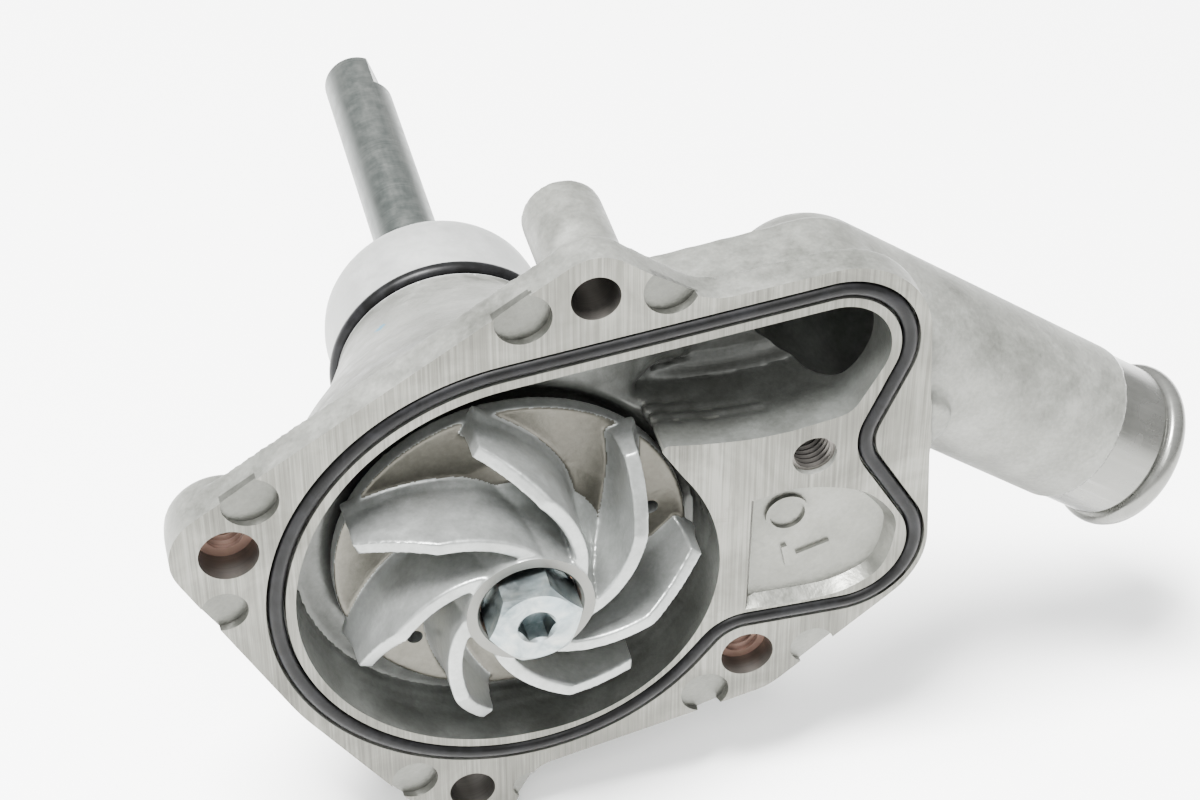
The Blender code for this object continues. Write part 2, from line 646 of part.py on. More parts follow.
def make_bearing(name, centre):
    half = BEARING_WIDTH / 2
    inner_floor = BALL_PITCH_RADIUS - BALL_RADIUS - CLEAR
    outer_floor = BALL_PITCH_RADIUS + BALL_RADIUS + CLEAR
    bore = SHAFT_RADIUS + CLEAR
    turned(name + "_inner_ring",
           [(7.0, centre + half), (7.0, centre + 1.9), (inner_floor, centre + 0.9), (inner_floor, centre - 0.9),
            (7.0, centre - 1.9), (7.0, centre - half), (bore, centre - half), (bore, centre + half)],
           "bearing_steel", steps=24)
    turned(name + "_outer_ring",
           [(BEARING_OUTER_RADIUS, centre + half), (BEARING_OUTER_RADIUS, centre - half), (9.1, centre - half),
            (9.1, centre - 1.9), (outer_floor, centre - 0.9), (outer_floor, centre + 0.9), (9.1, centre + 1.9),
            (9.1, centre + half)],
           "bearing_steel", steps=24)
    cage = turned(name + "_cage", ring_profile(7.4, 8.7, centre + 1.95, centre + 2.7), "cage_polymer", steps=27)
    prongs = []
    ball_mesh = None
    for i in range(BALLS):
        angle = math.tau * i / BALLS
        between = angle + math.pi / BALLS
        prongs.append(rod(f"{name}_prong_{i + 1}", 8.05 * math.cos(between), 8.05 * math.sin(between), 0.6,
                          centre - 1.0, centre + 2.3, cutter=True, sides=6))
        if ball_mesh is None:
            ball_mesh = make_ball_mesh(name)
        ball = link(f"{name}_ball_{i + 1}", ball_mesh)
        ball.location = Vector((BALL_PITCH_RADIUS * math.cos(angle), centre,
                                BALL_PITCH_RADIUS * math.sin(angle))) * MM
    boolean(cage, prongs, "UNION")


def make_ball_mesh(name):
    shape = bmesh.new()
    bmesh.ops.create_uvsphere(shape, u_segments=8, v_segments=5, radius=BALL_RADIUS * MM)
    mesh = bpy.data.meshes.new(name + "_ball")
    shape.to_mesh(mesh)
    shape.free()
    mesh.shade_smooth()
    mesh.materials.append(materials["bearing_steel"])
    return mesh


def make_bearings():
    make_bearing("front_bearing", BEARING_FRONT_CENTRE)
    make_bearing("rear_bearing", BEARING_REAR_CENTRE)
    make_circlip("bearing_circlip", 9.4, 11.9, 56.6, 57.6, opening=math.radians(50), facing=-math.pi / 2)


def main():
    global collection, cutters
    clear_scene()
    collection = make_collection("coolant_pump")
    cutters = make_collection("coolant_pump_cutters")
    make_material("cast_aluminium", (0.62, 0.62, 0.60), 0.9, 0.45)
    make_material("seal_rubber", (0.02, 0.02, 0.02), 0.0, 0.5)
    make_material("zinc_steel", (0.75, 0.78, 0.80), 1.0, 0.3)
    make_material("dark_steel", (0.16, 0.17, 0.16), 0.9, 0.45)
    make_material("bearing_steel", (0.60, 0.60, 0.60), 1.0, 0.2)
    make_material("spring_steel", (0.35, 0.34, 0.33), 1.0, 0.35)
    make_material("stainless_steel", (0.66, 0.65, 0.63), 1.0, 0.3)
    make_material("copper", (0.72, 0.42, 0.28), 1.0, 0.35)
    make_material("ceramic", (0.85, 0.83, 0.78), 0.0, 0.3)
    make_material("carbon", (0.05, 0.05, 0.05), 0.0, 0.6)
    make_material("cage_polymer", (0.55, 0.48, 0.36), 0.0, 0.5)
    make_housing()
    make_seals_of_housing()
    make_impeller()
    make_bolt()
    make_shaft()
    make_mechanical_seal()
    make_oil_seal()
    make_bearings()


main()
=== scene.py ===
import math

import bmesh
import bpy
import numpy as np
from mathutils import Matrix, Vector


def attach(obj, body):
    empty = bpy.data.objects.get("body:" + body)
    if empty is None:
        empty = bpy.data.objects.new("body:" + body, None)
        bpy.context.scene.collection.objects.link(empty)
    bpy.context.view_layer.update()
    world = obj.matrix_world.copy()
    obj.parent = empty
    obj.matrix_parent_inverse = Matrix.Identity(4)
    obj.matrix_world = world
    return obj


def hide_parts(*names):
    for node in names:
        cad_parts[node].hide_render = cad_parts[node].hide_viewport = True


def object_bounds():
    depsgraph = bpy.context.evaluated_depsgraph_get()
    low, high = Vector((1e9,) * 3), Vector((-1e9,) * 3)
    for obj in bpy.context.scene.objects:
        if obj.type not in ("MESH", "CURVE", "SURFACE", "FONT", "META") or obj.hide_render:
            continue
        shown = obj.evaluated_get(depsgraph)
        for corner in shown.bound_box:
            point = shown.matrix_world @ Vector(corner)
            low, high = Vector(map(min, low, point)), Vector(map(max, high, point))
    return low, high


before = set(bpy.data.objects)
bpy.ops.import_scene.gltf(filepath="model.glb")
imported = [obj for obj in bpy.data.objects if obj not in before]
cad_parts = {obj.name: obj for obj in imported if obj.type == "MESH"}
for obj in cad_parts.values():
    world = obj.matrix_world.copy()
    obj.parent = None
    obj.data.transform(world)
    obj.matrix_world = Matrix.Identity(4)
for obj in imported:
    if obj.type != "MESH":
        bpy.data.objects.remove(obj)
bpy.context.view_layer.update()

MM = 0.001
TAU = math.tau

# ---------------------------------------------------------------- sizes, the same as in the CAD (mm)
FLANGE_THICKNESS = 5.0
GROOVE_HALF = 1.3
GROOVE_DEPTH = 2.0
LAND = 1.3
CHAMBER_DEPTH = 9.6
CHANNEL_DEPTH = 15.5
RAMP_STEPS = 24
HUB_RADIUS = 16.4
HUB_END = 63.5
HUB_SEAL_Y = 48.0
HUB_SEAL_CORD = 2.2
SEAL_CORD = 2.0
CLEAR = 0.3
SEAL_PATH = ((44.6, -4.0, 10.2), (54.5, 14.3, -7.7), (42.0, 29.7, 9.85), (2.62, -0.35, 35.05), (-0.75, 0.2, 31.65),
             (31.4, -20.9, -6.6))
FLANGE_PATH = ((44.4, -4.4, 12.2), (42.2, 30.4, 12.4), (27.0, 49.2, -8.0), (10.2, 44.0, 6.1), (-37.6, 12.2, 7.6),
               (-0.75, 0.2, 34.7), (-7.6, -38.0, 7.2), (4.4, -39.0, -4.0), (31.5, -20.9, 7.5))
LEFT_HOLE = (-37.6, 12.2)
TOP_HOLE = (10.2, 44.0)
BOTTOM_HOLE = (-7.6, -38.0)
LOWER_RIGHT_HOLE = (31.6, -20.9)
WEB_HOLE = (39.7, 13.0)
THROUGH_RADIUS = 3.2
THREAD_RADIUS = 2.6
POST_END = 19.0
POST_RADIUS_SHOWN = 5.35
BOSS_DEPTH = 9.0
FACE_PADS = ((-34.3, 20.3, 3.7), (-38.9, 2.8, 3.1), (1.0, 42.4, 3.7), (19.8, 43.6, 3.6),
             (41.0, -21.4, 3.1), (25.7, -26.9, 3.4), (-15.6, -34.0, 3.2), (0.6, -39.1, 2.4))
PAINT_MARK = (-11.4, 35.6, 17.3)
# the ejector pads are sunk a little deeper on one side
PAD_LEAN = Matrix.Rotation(math.radians(6), 4, "X") @ Matrix.Rotation(math.radians(6), 4, "Z")
SIDE_PAD = (55.2, 14.9, 3.3)
NECK_Y = 14.0
NECK_START = (42.0, 28.2)
NECK_ANGLE = math.radians(35.5)
NECK_LENGTH = 61.6
NECK_RADIUS = 11.4
SEAT_RADIUS = 11.0
SEAT_LENGTH = 12.0
BEAD_RADIUS = 12.0
NECK_BORE = 8.3
SHAFT_RADIUS = 5.0
SHAFT_FRONT = 1.1
SHAFT_END = 126.0
DRIVE_FLAT_LENGTH = 8.5
DRIVE_FLAT_DEPTH = 1.5
DRIVE_FLAT_ANGLE = math.radians(20)
IMPELLER_RADIUS = 24.0
DISC_FRONT = 5.8
DISC_BACK = 8.2
VANES = 7
FIRST_TIP = math.radians(1.0)
VANE_TWIST = math.radians(65.0)
VANE_TOP = -5.4
VANE_SHOULDER = 17.2
HUB_RING_FRONT = -6.0
HUB_RING_RADIUS = 8.3
BOLT_FRONT = -9.55
BOLT_HEX = 11.0
SOCKET_HEX = 4.4
BOLT_RECESS = 6.8
WASHER_SEAT = -1.4

# ---------------------------------------------------------------- small tools

def link(name, mesh):
    thing = bpy.data.objects.new(name, mesh)
    bpy.context.scene.collection.objects.link(thing)
    return thing


def drop(*things):
    for thing in things:
        bpy.data.objects.remove(thing, do_unlink=True)


def bake(thing):
    """Apply all modifiers."""
    bpy.context.view_layer.update()
    seen = thing.evaluated_get(bpy.context.evaluated_depsgraph_get())
    mesh = bpy.data.meshes.new_from_object(seen)
    mesh.transform(thing.matrix_world)
    thing.modifiers.clear()
    thing.data = mesh
    thing.matrix_world = Matrix.Identity(4)
    return thing


def boolean(target, tools, operation="DIFFERENCE"):
    for tool in tools:
        change = target.modifiers.new(tool.name, "BOOLEAN")
        change.operation = operation
        change.solver = "MANIFOLD"
        change.object = tool
    bake(target)
    drop(*tools)
    return target


def join(name, things):
    """All the meshes in one object, overlaps and all."""
    shape = bmesh.new()
    for thing in things:
        bake(thing)
        shape.from_mesh(thing.data)
    drop(*things)
    mesh = bpy.data.meshes.new(name)
    shape.to_mesh(mesh)
    shape.free()
    return link(name, mesh)


def cast(thing, voxel, rounds, factor=0.5):
    """Melt overlapping solids into one skin with soft fillets, as a casting has."""
    remesh = thing.modifiers.new("Remesh", "REMESH")
    remesh.mode = "VOXEL"
    remesh.voxel_size = voxel * MM
    soft = thing.modifiers.new("Smooth", "SMOOTH")
    soft.factor = factor
    soft.iterations = rounds
    return bake(thing)


def shade(thing, angle=32):
    mesh = thing.data
    mesh.shade_smooth()
    mesh.set_sharp_from_angle(angle=math.radians(angle))
    return thing


def arc(x, z, radius, start, end, step=math.radians(3)):
    count = max(1, math.ceil(abs(end - start) / step))
    return [(x + radius * math.cos(start + (end - start) * i / count),
             z + radius * math.sin(start + (end - start) * i / count)) for i in range(count + 1)]


def tangent_angle(first, second):
    dx, dz = second[0] - first[0], second[1] - first[1]
    return math.atan2(dz, dx) - math.acos((first[2] - second[2]) / math.hypot(dx, dz))


def belt(circles, offset=0.0, step=math.radians(3)):
    grown = [(x, z, r + offset) for x, z, r in circles]
    points = []
    for i, (x, z, radius) in enumerate(grown):
        start = tangent_angle(grown[i - 1], grown[i])
        end = tangent_angle(grown[i], grown[(i + 1) % len(grown)])
        turn = (end - start) % TAU
        if radius < 0:
            turn -= TAU
        points += arc(x, z, radius, start, start + turn, step)
    return points


def smooth_points(points, parts=8):
    line = [Vector(p) for p in points]
    line = [2 * line[0] - line[1]] + line + [2 * line[-1] - line[-2]]
    result = []
    for a, b, c, d in zip(line, line[1:], line[2:], line[3:]):
        for i in range(parts):
            t = i / parts
            result.append(0.5 * (2 * b + (c - a) * t + (2 * a - 5 * b + 4 * c - d) * t * t
                                 + (3 * b - a - 3 * c + d) * t ** 3))
    result.append(line[-2])
    return [tuple(p) for p in result]


PORT_CORNER = (42.2, 22.6, 3.6)
TONGUE = (18.2, 18.9)


def inset_circle(index):
    x, z, radius = SEAL_PATH[index]
    return x, z, radius - GROOVE_HALF - LAND


def port_arc(inset=0.0):
    port, upper = inset_circle(2), inset_circle(3)
    start, end = tangent_angle(PORT_CORNER, port), tangent_angle(port, upper)
    return arc(port[0], port[1], port[2] - inset, start, start + (end - start) % math.tau)


def floor_edge(inset=0.0):
    edge = smooth_points((TONGUE, (24.0, 18.1), (30.7, 17.6), (36.4, 17.9)))
    x, z, radius = PORT_CORNER
    return ([(px, pz + inset) for px, pz in edge]
            + arc(x, z, radius - inset, math.radians(-80), tangent_angle(PORT_CORNER, inset_circle(2))))


def opening_outline():
    port, upper, lower = inset_circle(2), inset_circle(3), inset_circle(4)
    right = (1.2, -2.8, 26.0)
    start = tangent_angle(port, upper) % TAU
    middle = tangent_angle(upper, lower) % TAU
    end = tangent_angle(lower, right) % TAU
    points = port_arc() + arc(*upper, start, middle) + arc(*lower, middle, end)
    points += arc(*right, end, math.radians(400))[:-1]
    return points + floor_edge()


def channel_outline(left=24.0):
    return port_arc() + [(left, 32.0 + 0.1187 * left), (left, 22.0)] + floor_edge()


def without_repeats(outline, gap=0.02):
    kept = []
    for point in outline:
        if not kept or math.dist(point, kept[-1]) > gap:
            kept.append(point)
    if math.dist(kept[0], kept[-1]) <= gap:
        kept.pop()
    return kept


def prism(name, outline, front, back, shrink=0.0):
    """Closed solid between the planes y = front and y = back, its back end scaled in by shrink mm."""
    outline = without_repeats(outline)
    count = len(outline)
    shape = bmesh.new()
    near = [shape.verts.new((x * MM, front * MM, z * MM)) for x, z in outline]
    if shrink:
        inner = inward(outline, shrink)
    else:
        inner = outline
    far = [shape.verts.new((x * MM, back * MM, z * MM)) for x, z in inner]
    for i in range(count):
        shape.faces.new((near[i], near[(i + 1) % count], far[(i + 1) % count], far[i]))
    caps = [shape.faces.new(near[::-1]), shape.faces.new(far)]
    bmesh.ops.triangulate(shape, faces=caps)
    bmesh.ops.recalc_face_normals(shape, faces=shape.faces)
    mesh = bpy.data.meshes.new(name)
    shape.to_mesh(mesh)
    shape.free()
    return link(name, mesh)


def inward(outline, distance):
    """Outline moved in by a small distance, counter-clockwise outlines only."""
    count = len(outline)
    moved = []
    for i in range(count):
        a, b, c = Vector(outline[i - 1]), Vector(outline[i]), Vector(outline[(i + 1) % count])
        normals = []
        for first, second in ((a, b), (b, c)):
            d = (second - first).normalized()
            normals.append(Vector((-d.y, d.x)))
        n = (normals[0] + normals[1]).normalized()
        moved.append(tuple(b + n * distance))
    return moved


def ring_prism(name, outer, inner, front, back):
    """Closed band between two outlines with the same number of points."""
    count = len(outer)
    shape = bmesh.new()
    rows = [[shape.verts.new((x * MM, y * MM, z * MM)) for x, z in line]
            for line, y in ((outer, front), (outer, back), (inner, back), (inner, front))]
    for k in range(4):
        one, two = rows[k], rows[(k + 1) % 4]
        for i in range(count):
            j = (i + 1) % count
            shape.faces.new((one[i], one[j], two[j], two[i]))
    bmesh.ops.recalc_face_normals(shape, faces=shape.faces)
    mesh = bpy.data.meshes.new(name)
    shape.to_mesh(mesh)
    shape.free()
    return link(name, mesh)


ALONG_SHAFT = Matrix.Rotation(-math.pi / 2, 4, "X")


def turned(name, profile, place=ALONG_SHAFT, steps=96, closed=True):
    """Closed solid turned from (radius, height) points about local Z, which place lays down."""
    shape = bmesh.new()
    rings = []
    for radius, height in profile:
        if radius < 1e-6:
            rings.append([shape.verts.new((0, 0, height * MM))])
        else:
            rings.append([shape.verts.new((radius * MM * math.cos(TAU * i / steps),
                                           radius * MM * math.sin(TAU * i / steps), height * MM))
                          for i in range(steps)])
    pairs = list(zip(rings, rings[1:]))
    if closed:
        pairs.append((rings[-1], rings[0]))
    for one, two in pairs:
        for i in range(steps):
            j = (i + 1) % steps
            if len(one) == 1 and len(two) == 1:
                continue
            if len(one) == 1:
                shape.faces.new((one[0], two[i], two[j]))
            elif len(two) == 1:
                shape.faces.new((one[i], two[0], one[j]))
            else:
                shape.faces.new((one[i], two[i], two[j], one[j]))
    bmesh.ops.recalc_face_normals(shape, faces=shape.faces)
    mesh = bpy.data.meshes.new(name)
    shape.to_mesh(mesh)
    shape.free()
    mesh.transform(place)
    return link(name, mesh)


def at(x, z):
    return Matrix.Translation((x * MM, 0, z * MM)) @ ALONG_SHAFT


def rod(name, x, z, radius, front, back, steps=64, edge=0.0):
    profile = [(0, back)]
    if edge:
        profile += [(radius - edge + edge * math.sin(a), back - edge + edge * math.cos(a))
                    for a in (math.pi / 2 * i / 6 for i in range(7))]
    else:
        profile.append((radius, back))
    profile += [(radius, front), (0, front)]
    return turned(name, profile, at(x, z), steps, closed=False)


def hexagon(across, turn=0.0):
    radius = across / 2 / math.cos(math.pi / 6)
    return [(radius * math.cos(turn + i * math.pi / 3), radius * math.sin(turn + i * math.pi / 3)) for i in range(6)]


def tube(name, outline, diameter, y, sides=24):
    """Round cord along a closed outline in a plane of constant y."""
    outline = without_repeats(outline)
    count = len(outline)
    shape = bmesh.new()
    rows = []
    for i in range(count):
        a, b, c = Vector(outline[i - 1]), Vector(outline[i]), Vector(outline[(i + 1) % count])
        ahead = (c - a).normalized()
        out = Vector((ahead.y, -ahead.x))
        rows.append([shape.verts.new(((b.x + out.x * diameter / 2 * math.cos(t)) * MM,
                                      (y + diameter / 2 * math.sin(t)) * MM,
                                      (b.y + out.y * diameter / 2 * math.cos(t)) * MM))
                     for t in (TAU * k / sides for k in range(sides))])
    for i in range(count):
        one, two = rows[i], rows[(i + 1) % count]
        for k in range(sides):
            m = (k + 1) % sides
            shape.faces.new((one[k], one[m], two[m], two[k]))
    bmesh.ops.recalc_face_normals(shape, faces=shape.faces)
    mesh = bpy.data.meshes.new(name)
    shape.to_mesh(mesh)
    shape.free()
    return link(name, mesh)


# ---------------------------------------------------------------- materials

class Nodes:
    """Short way to write a node tree."""

    def __init__(self, name):
        self.material = bpy.data.materials.new(name)
        self.material.use_nodes = True
        self.tree = self.material.node_tree
        self.shader = self.tree.nodes["Principled BSDF"]
        self.place = self.tree.nodes.new("ShaderNodeTexCoord").outputs["Object"]

    def put(self, socket, value):
        if isinstance(value, bpy.types.NodeSocket):
            self.tree.links.new(value, socket)
        elif isinstance(value, (tuple, list)) and len(value) == 3 and len(socket.default_value) == 4:
            socket.default_value = (*value, 1.0)
        else:
            socket.default_value = value

    def scaled(self, scale, turn=(0, 0, 0)):
        node = self.tree.nodes.new("ShaderNodeMapping")
        self.put(node.inputs["Vector"], self.place)
        node.inputs["Scale"].default_value = scale
        node.inputs["Rotation"].default_value = turn
        return node.outputs["Vector"]

    def noise(self, scale, detail=3.0, rough=0.55, vector=None, distortion=0.0):
        node = self.tree.nodes.new("ShaderNodeTexNoise")
        self.put(node.inputs["Vector"], self.place if vector is None else vector)
        node.inputs["Scale"].default_value = scale
        node.inputs["Detail"].default_value = detail
        node.inputs["Roughness"].default_value = rough
        node.inputs["Distortion"].default_value = distortion
        return node.outputs["Fac"]

    def ramp(self, value, stops):
        node = self.tree.nodes.new("ShaderNodeValToRGB")
        self.put(node.inputs["Fac"], value)
        first, last = node.color_ramp.elements[0], node.color_ramp.elements[1]
        first.position, last.position = stops[0][0], stops[-1][0]
        first.color, last.color = self.colour(stops[0][1]), self.colour(stops[-1][1])
        for position, colour in stops[1:-1]:
            node.color_ramp.elements.new(position).color = self.colour(colour)
        return node.outputs["Color"]

    @staticmethod
    def colour(value):
        return (*value, 1.0) if isinstance(value, tuple) else (value, value, value, 1.0)

    def math(self, operation, first, second=0.5):
        node = self.tree.nodes.new("ShaderNodeMath")
        node.operation = operation
        self.put(node.inputs[0], first)
        self.put(node.inputs[1], second)
        return node.outputs[0]

    def mix(self, factor, first, second, blend="MIX"):
        node = self.tree.nodes.new("ShaderNodeMix")
        node.data_type = "RGBA"
        node.blend_type = blend
        self.put(node.inputs[0], factor)
        self.put(node.inputs[6], first)
        self.put(node.inputs[7], second)
        return node.outputs[2]

    def axis(self, name):
        node = self.tree.nodes.new("ShaderNodeSeparateXYZ")
        self.put(node.inputs[0], self.place)
        return node.outputs[name]

    def bump(self, height, strength, distance, base=None):
        node = self.tree.nodes.new("ShaderNodeBump")
        self.put(node.inputs["Height"], height)
        node.inputs["Strength"].default_value = strength
        node.inputs["Distance"].default_value = distance * MM
        if base is not None:
            self.put(node.inputs["Normal"], base)
        return node.outputs["Normal"]

    def finish(self, colour, metallic, roughness, normal=None, **more):
        self.put(self.shader.inputs["Base Color"], colour)
        self.put(self.shader.inputs["Metallic"], metallic)
        self.put(self.shader.inputs["Roughness"], roughness)
        if normal is not None:
            self.put(self.shader.inputs["Normal"], normal)
        for key, value in more.items():
            self.put(self.shader.inputs[key.replace("_", " ")], value)
        return self.material


def cast_metal(name, dark, light, metallic=0.8, rough=(0.42, 0.62), grain=1.0):
    n = Nodes(name)
    broad = n.noise(38, 4, 0.6, distortion=0.6)
    mottle = n.noise(210, 4, 0.6)
    fine = n.noise(1500, 2, 0.6)
    tone = n.math("ADD", n.math("MULTIPLY", broad, 0.50), n.math("MULTIPLY", mottle, 0.32))
    tone = n.math("ADD", tone, n.math("MULTIPLY", fine, 0.18))
    colour = n.ramp(tone, ((0.34, dark), (0.52, tuple((a + b) / 2 for a, b in zip(dark, light))), (0.66, light)))
    stain = n.ramp(n.noise(95, 5, 0.65, distortion=1.2), ((0.60, 0.0), (0.72, 1.0)))
    colour = n.mix(n.math("MULTIPLY", stain, 0.35), colour, tuple(c * 0.62 for c in dark))
    roughness = n.ramp(n.noise(420, 3), ((0.3, rough[0]), (0.7, rough[1])))
    normal = n.bump(n.noise(330, 3, 0.55), 0.30 * grain, 0.35)
    normal = n.bump(fine, 0.38 * grain, 0.10, normal)
    return n.finish(colour, metallic, roughness, normal)


def milled_face(name):
    """Cover face: fine straight tool marks, brighter than the casting, with a few stains."""
    n = Nodes(name)
    marks = n.noise(90, 3, 0.7, n.scaled((26.0, 1.0, 0.35)))
    broad = n.noise(60, 4, 0.6, distortion=0.8)
    tone = n.math("ADD", n.math("MULTIPLY", marks, 0.55), n.math("MULTIPLY", broad, 0.45))
    colour = n.ramp(tone, ((0.36, (0.055, 0.054, 0.047)), (0.5, (0.100, 0.099, 0.087)), (0.62, (0.160, 0.159, 0.142))))
    stain = n.ramp(n.noise(120, 6, 0.7, distortion=1.5), ((0.60, 0.0), (0.70, 1.0)))
    colour = n.mix(n.math("MULTIPLY", stain, 0.4), colour, (0.085, 0.082, 0.070))
    roughness = n.ramp(marks, ((0.3, 0.34), (0.7, 0.50)))
    normal = n.bump(marks, 0.16, 0.06)
    return n.finish(colour, 0.82, roughness, normal)


def turned_metal(name, colour, metallic=0.9, rough=0.28, ring_scale=700, axis_turn=(0, 0, 0), wear=0.25):
    """Lathe-cut surface: fine lines round the axis, which lies along local Y after axis_turn."""
    n = Nodes(name)
    lines = n.noise(6, 2, 0.6, n.scaled((1.0, ring_scale, 1.0), axis_turn))
    broad = n.noise(120, 4, 0.6, distortion=0.5)
    tone = n.math("ADD", n.math("MULTIPLY", lines, 0.5), n.math("MULTIPLY", broad, 0.5))
    shade_colour = tuple(c * (1 - wear) for c in colour)
    mixed = n.ramp(tone, ((0.35, shade_colour), (0.65, colour)))
    roughness = n.ramp(broad, ((0.3, rough), (0.75, rough + 0.16)))
    normal = n.bump(lines, 0.12, 0.03)
    return n.finish(mixed, metallic, roughness, normal)


def rubber(name):
    n = Nodes(name)
    dust = n.noise(260, 5, 0.65, distortion=0.7)
    colour = n.ramp(dust, ((0.45, (0.002, 0.002, 0.002)), (0.75, (0.007, 0.007, 0.008))))
    roughness = n.ramp(n.noise(500, 3), ((0.3, 0.30), (0.7, 0.46)))
    normal = n.bump(n.noise(1300, 2), 0.12, 0.05)
    return n.finish(colour, 0.0, roughness, normal, Specular_IOR_Level=0.12)


def zinc(name):
    n = Nodes(name)
    cloud = n.noise(330, 4, 0.6, distortion=0.6)
    colour = n.ramp(cloud, ((0.32, (0.12, 0.145, 0.15)), (0.5, (0.20, 0.225, 0.228)), (0.68, (0.28, 0.295, 0.28))))
    tint = n.ramp(n.noise(140, 3), ((0.45, 0.0), (0.75, 1.0)))
    colour = n.mix(n.math("MULTIPLY", tint, 0.35), colour, (0.25, 0.33, 0.36))
    roughness = n.ramp(n.noise(900, 3), ((0.3, 0.30), (0.7, 0.44)))
    normal = n.bump(n.noise(700, 3), 0.16, 0.06)
    return n.finish(colour, 1.0, roughness, normal)


def shaft_steel(name):
    """Ground and blued bar: dark grey with a green cast, streaks along and fine rings round."""
    n = Nodes(name)
    streaks = n.noise(150, 4, 0.65, n.scaled((1.0, 0.07, 1.0)))
    rings = n.noise(6, 2, 0.6, n.scaled((1.0, 500, 1.0)))
    spots = n.noise(480, 5, 0.7)
    tone = n.math("ADD", n.math("MULTIPLY", streaks, 0.5), n.math("MULTIPLY", spots, 0.32))
    tone = n.math("ADD", tone, n.math("MULTIPLY", rings, 0.18))
    colour = n.ramp(tone, ((0.36, (0.034, 0.040, 0.037)), (0.5, (0.062, 0.070, 0.066)), (0.66, (0.12, 0.125, 0.118))))
    roughness = n.ramp(spots, ((0.3, 0.34), (0.7, 0.52)))
    normal = n.bump(rings, 0.12, 0.04)
    return n.finish(colour, 0.85, roughness, normal)


def plain_metal(name, colour, rough, metallic=1.0):
    n = Nodes(name)
    cloud = n.noise(300, 4, 0.6)
    mixed = n.ramp(cloud, ((0.3, tuple(c * 0.82 for c in colour)), (0.7, colour)))
    roughness = n.ramp(n.noise(800, 3), ((0.3, rough), (0.7, rough + 0.12)))
    return n.finish(mixed, metallic, roughness, n.bump(n.noise(1200, 2), 0.08, 0.03))


def matte(name, colour, rough):
    n = Nodes(name)
    mixed = n.ramp(n.noise(350, 4), ((0.3, tuple(c * 0.8 for c in colour)), (0.7, colour)))
    return n.finish(mixed, 0.0, n.ramp(n.noise(700, 3), ((0.3, rough), (0.7, rough + 0.12))),
                    n.bump(n.noise(900, 3), 0.15, 0.06))


CAST = cast_metal("cast_aluminium_skin", (0.060, 0.061, 0.053), (0.20, 0.203, 0.186), 0.45)
# darker copy of the cast skin for the volute, outlet channel and neck bore: painted shade in these hollows
SHADED_INSIDE = cast_metal("cast_aluminium_painted_shade", (0.040, 0.041, 0.036), (0.115, 0.120, 0.112), 0.4, (0.34, 0.48), 0.8)
BLASTED = cast_metal("blasted_aluminium", (0.24, 0.244, 0.236), (0.33, 0.335, 0.326), 0.5, (0.5, 0.66), 0.5)
POCKET = cast_metal("cast_pocket", (0.075, 0.076, 0.066), (0.150, 0.151, 0.136), 0.75, (0.28, 0.42), 0.8)
PAD = cast_metal("cast_ejector_pad", (0.050, 0.051, 0.044), (0.120, 0.121, 0.109), 0.75, (0.34, 0.5), 1.2)
FACE = milled_face("milled_face")
SEAT = turned_metal("turned_neck_end", (0.155, 0.156, 0.145), 0.85, 0.20)
HOLE = turned_metal("cut_hole", (0.13, 0.122, 0.112), 0.9, 0.34)
THREAD = turned_metal("thread_with_old_sealant", (0.30, 0.19, 0.15), 0.7, 0.38)
BLADE = cast_metal("impeller_casting", (0.150, 0.156, 0.149), (0.32, 0.332, 0.323), 0.66, (0.28, 0.42), 0.6)
DISC = cast_metal("impeller_disc", (0.042, 0.039, 0.031), (0.098, 0.094, 0.079), 0.75, (0.28, 0.42), 0.6)
BLADE_CUT = turned_metal("impeller_turned", (0.13, 0.13, 0.12), 0.8, 0.32)
RUBBER = rubber("seal_rubber_black")
ZINC = zinc("zinc_plating")
SHAFT = shaft_steel("shaft_steel_dark")
BEARING = plain_metal("bearing_steel_ground", (0.62, 0.62, 0.62), 0.16)
SPRING = plain_metal("spring_steel_oiled", (0.22, 0.215, 0.21), 0.34)
STAINLESS = plain_metal("stainless_drawn", (0.62, 0.61, 0.59), 0.28)
PAINT = matte("blue_paint_dot", (0.012, 0.10, 0.16), 0.5)
COPPER = plain_metal("copper_washer", (0.70, 0.40, 0.26), 0.34)
CERAMIC = matte("ceramic_white", (0.80, 0.78, 0.73), 0.25)
CARBON = matte("carbon_black", (0.045, 0.045, 0.048), 0.5)
POLYMER = matte("cage_polymer_tan", (0.46, 0.36, 0.22), 0.45)


# ---------------------------------------------------------------- housing

def neck_matrix():
    direction = Vector((math.cos(NECK_ANGLE), 0, -math.sin(NECK_ANGLE)))
    start = Vector((NECK_START[0] * MM, NECK_Y * MM, NECK_START[1] * MM))
    return Matrix.Translation(start) @ direction.to_track_quat("Z", "Y").to_matrix().to_4x4()


def quarter(radius, count=16):
    return [(radius * math.sin(a), -radius * math.cos(a)) for a in (math.pi / 2 * i / count for i in range(count + 1))]


def thread(name, x, z, radius, front, back, pitch=1.0):
    """Cutter for a threaded hole."""
    depth = 0.5
    profile = [(0, back), (radius, back)]
    height = back
    while height - pitch > front:
        profile += [(radius, height - 0.1 * pitch), (radius + depth, height - 0.45 * pitch),
                    (radius + depth, height - 0.55 * pitch), (radius, height - 0.9 * pitch)]
        height -= pitch
    profile += [(radius, front), (0, front)]
    return turned(name, profile, at(x, z), 64, closed=False)


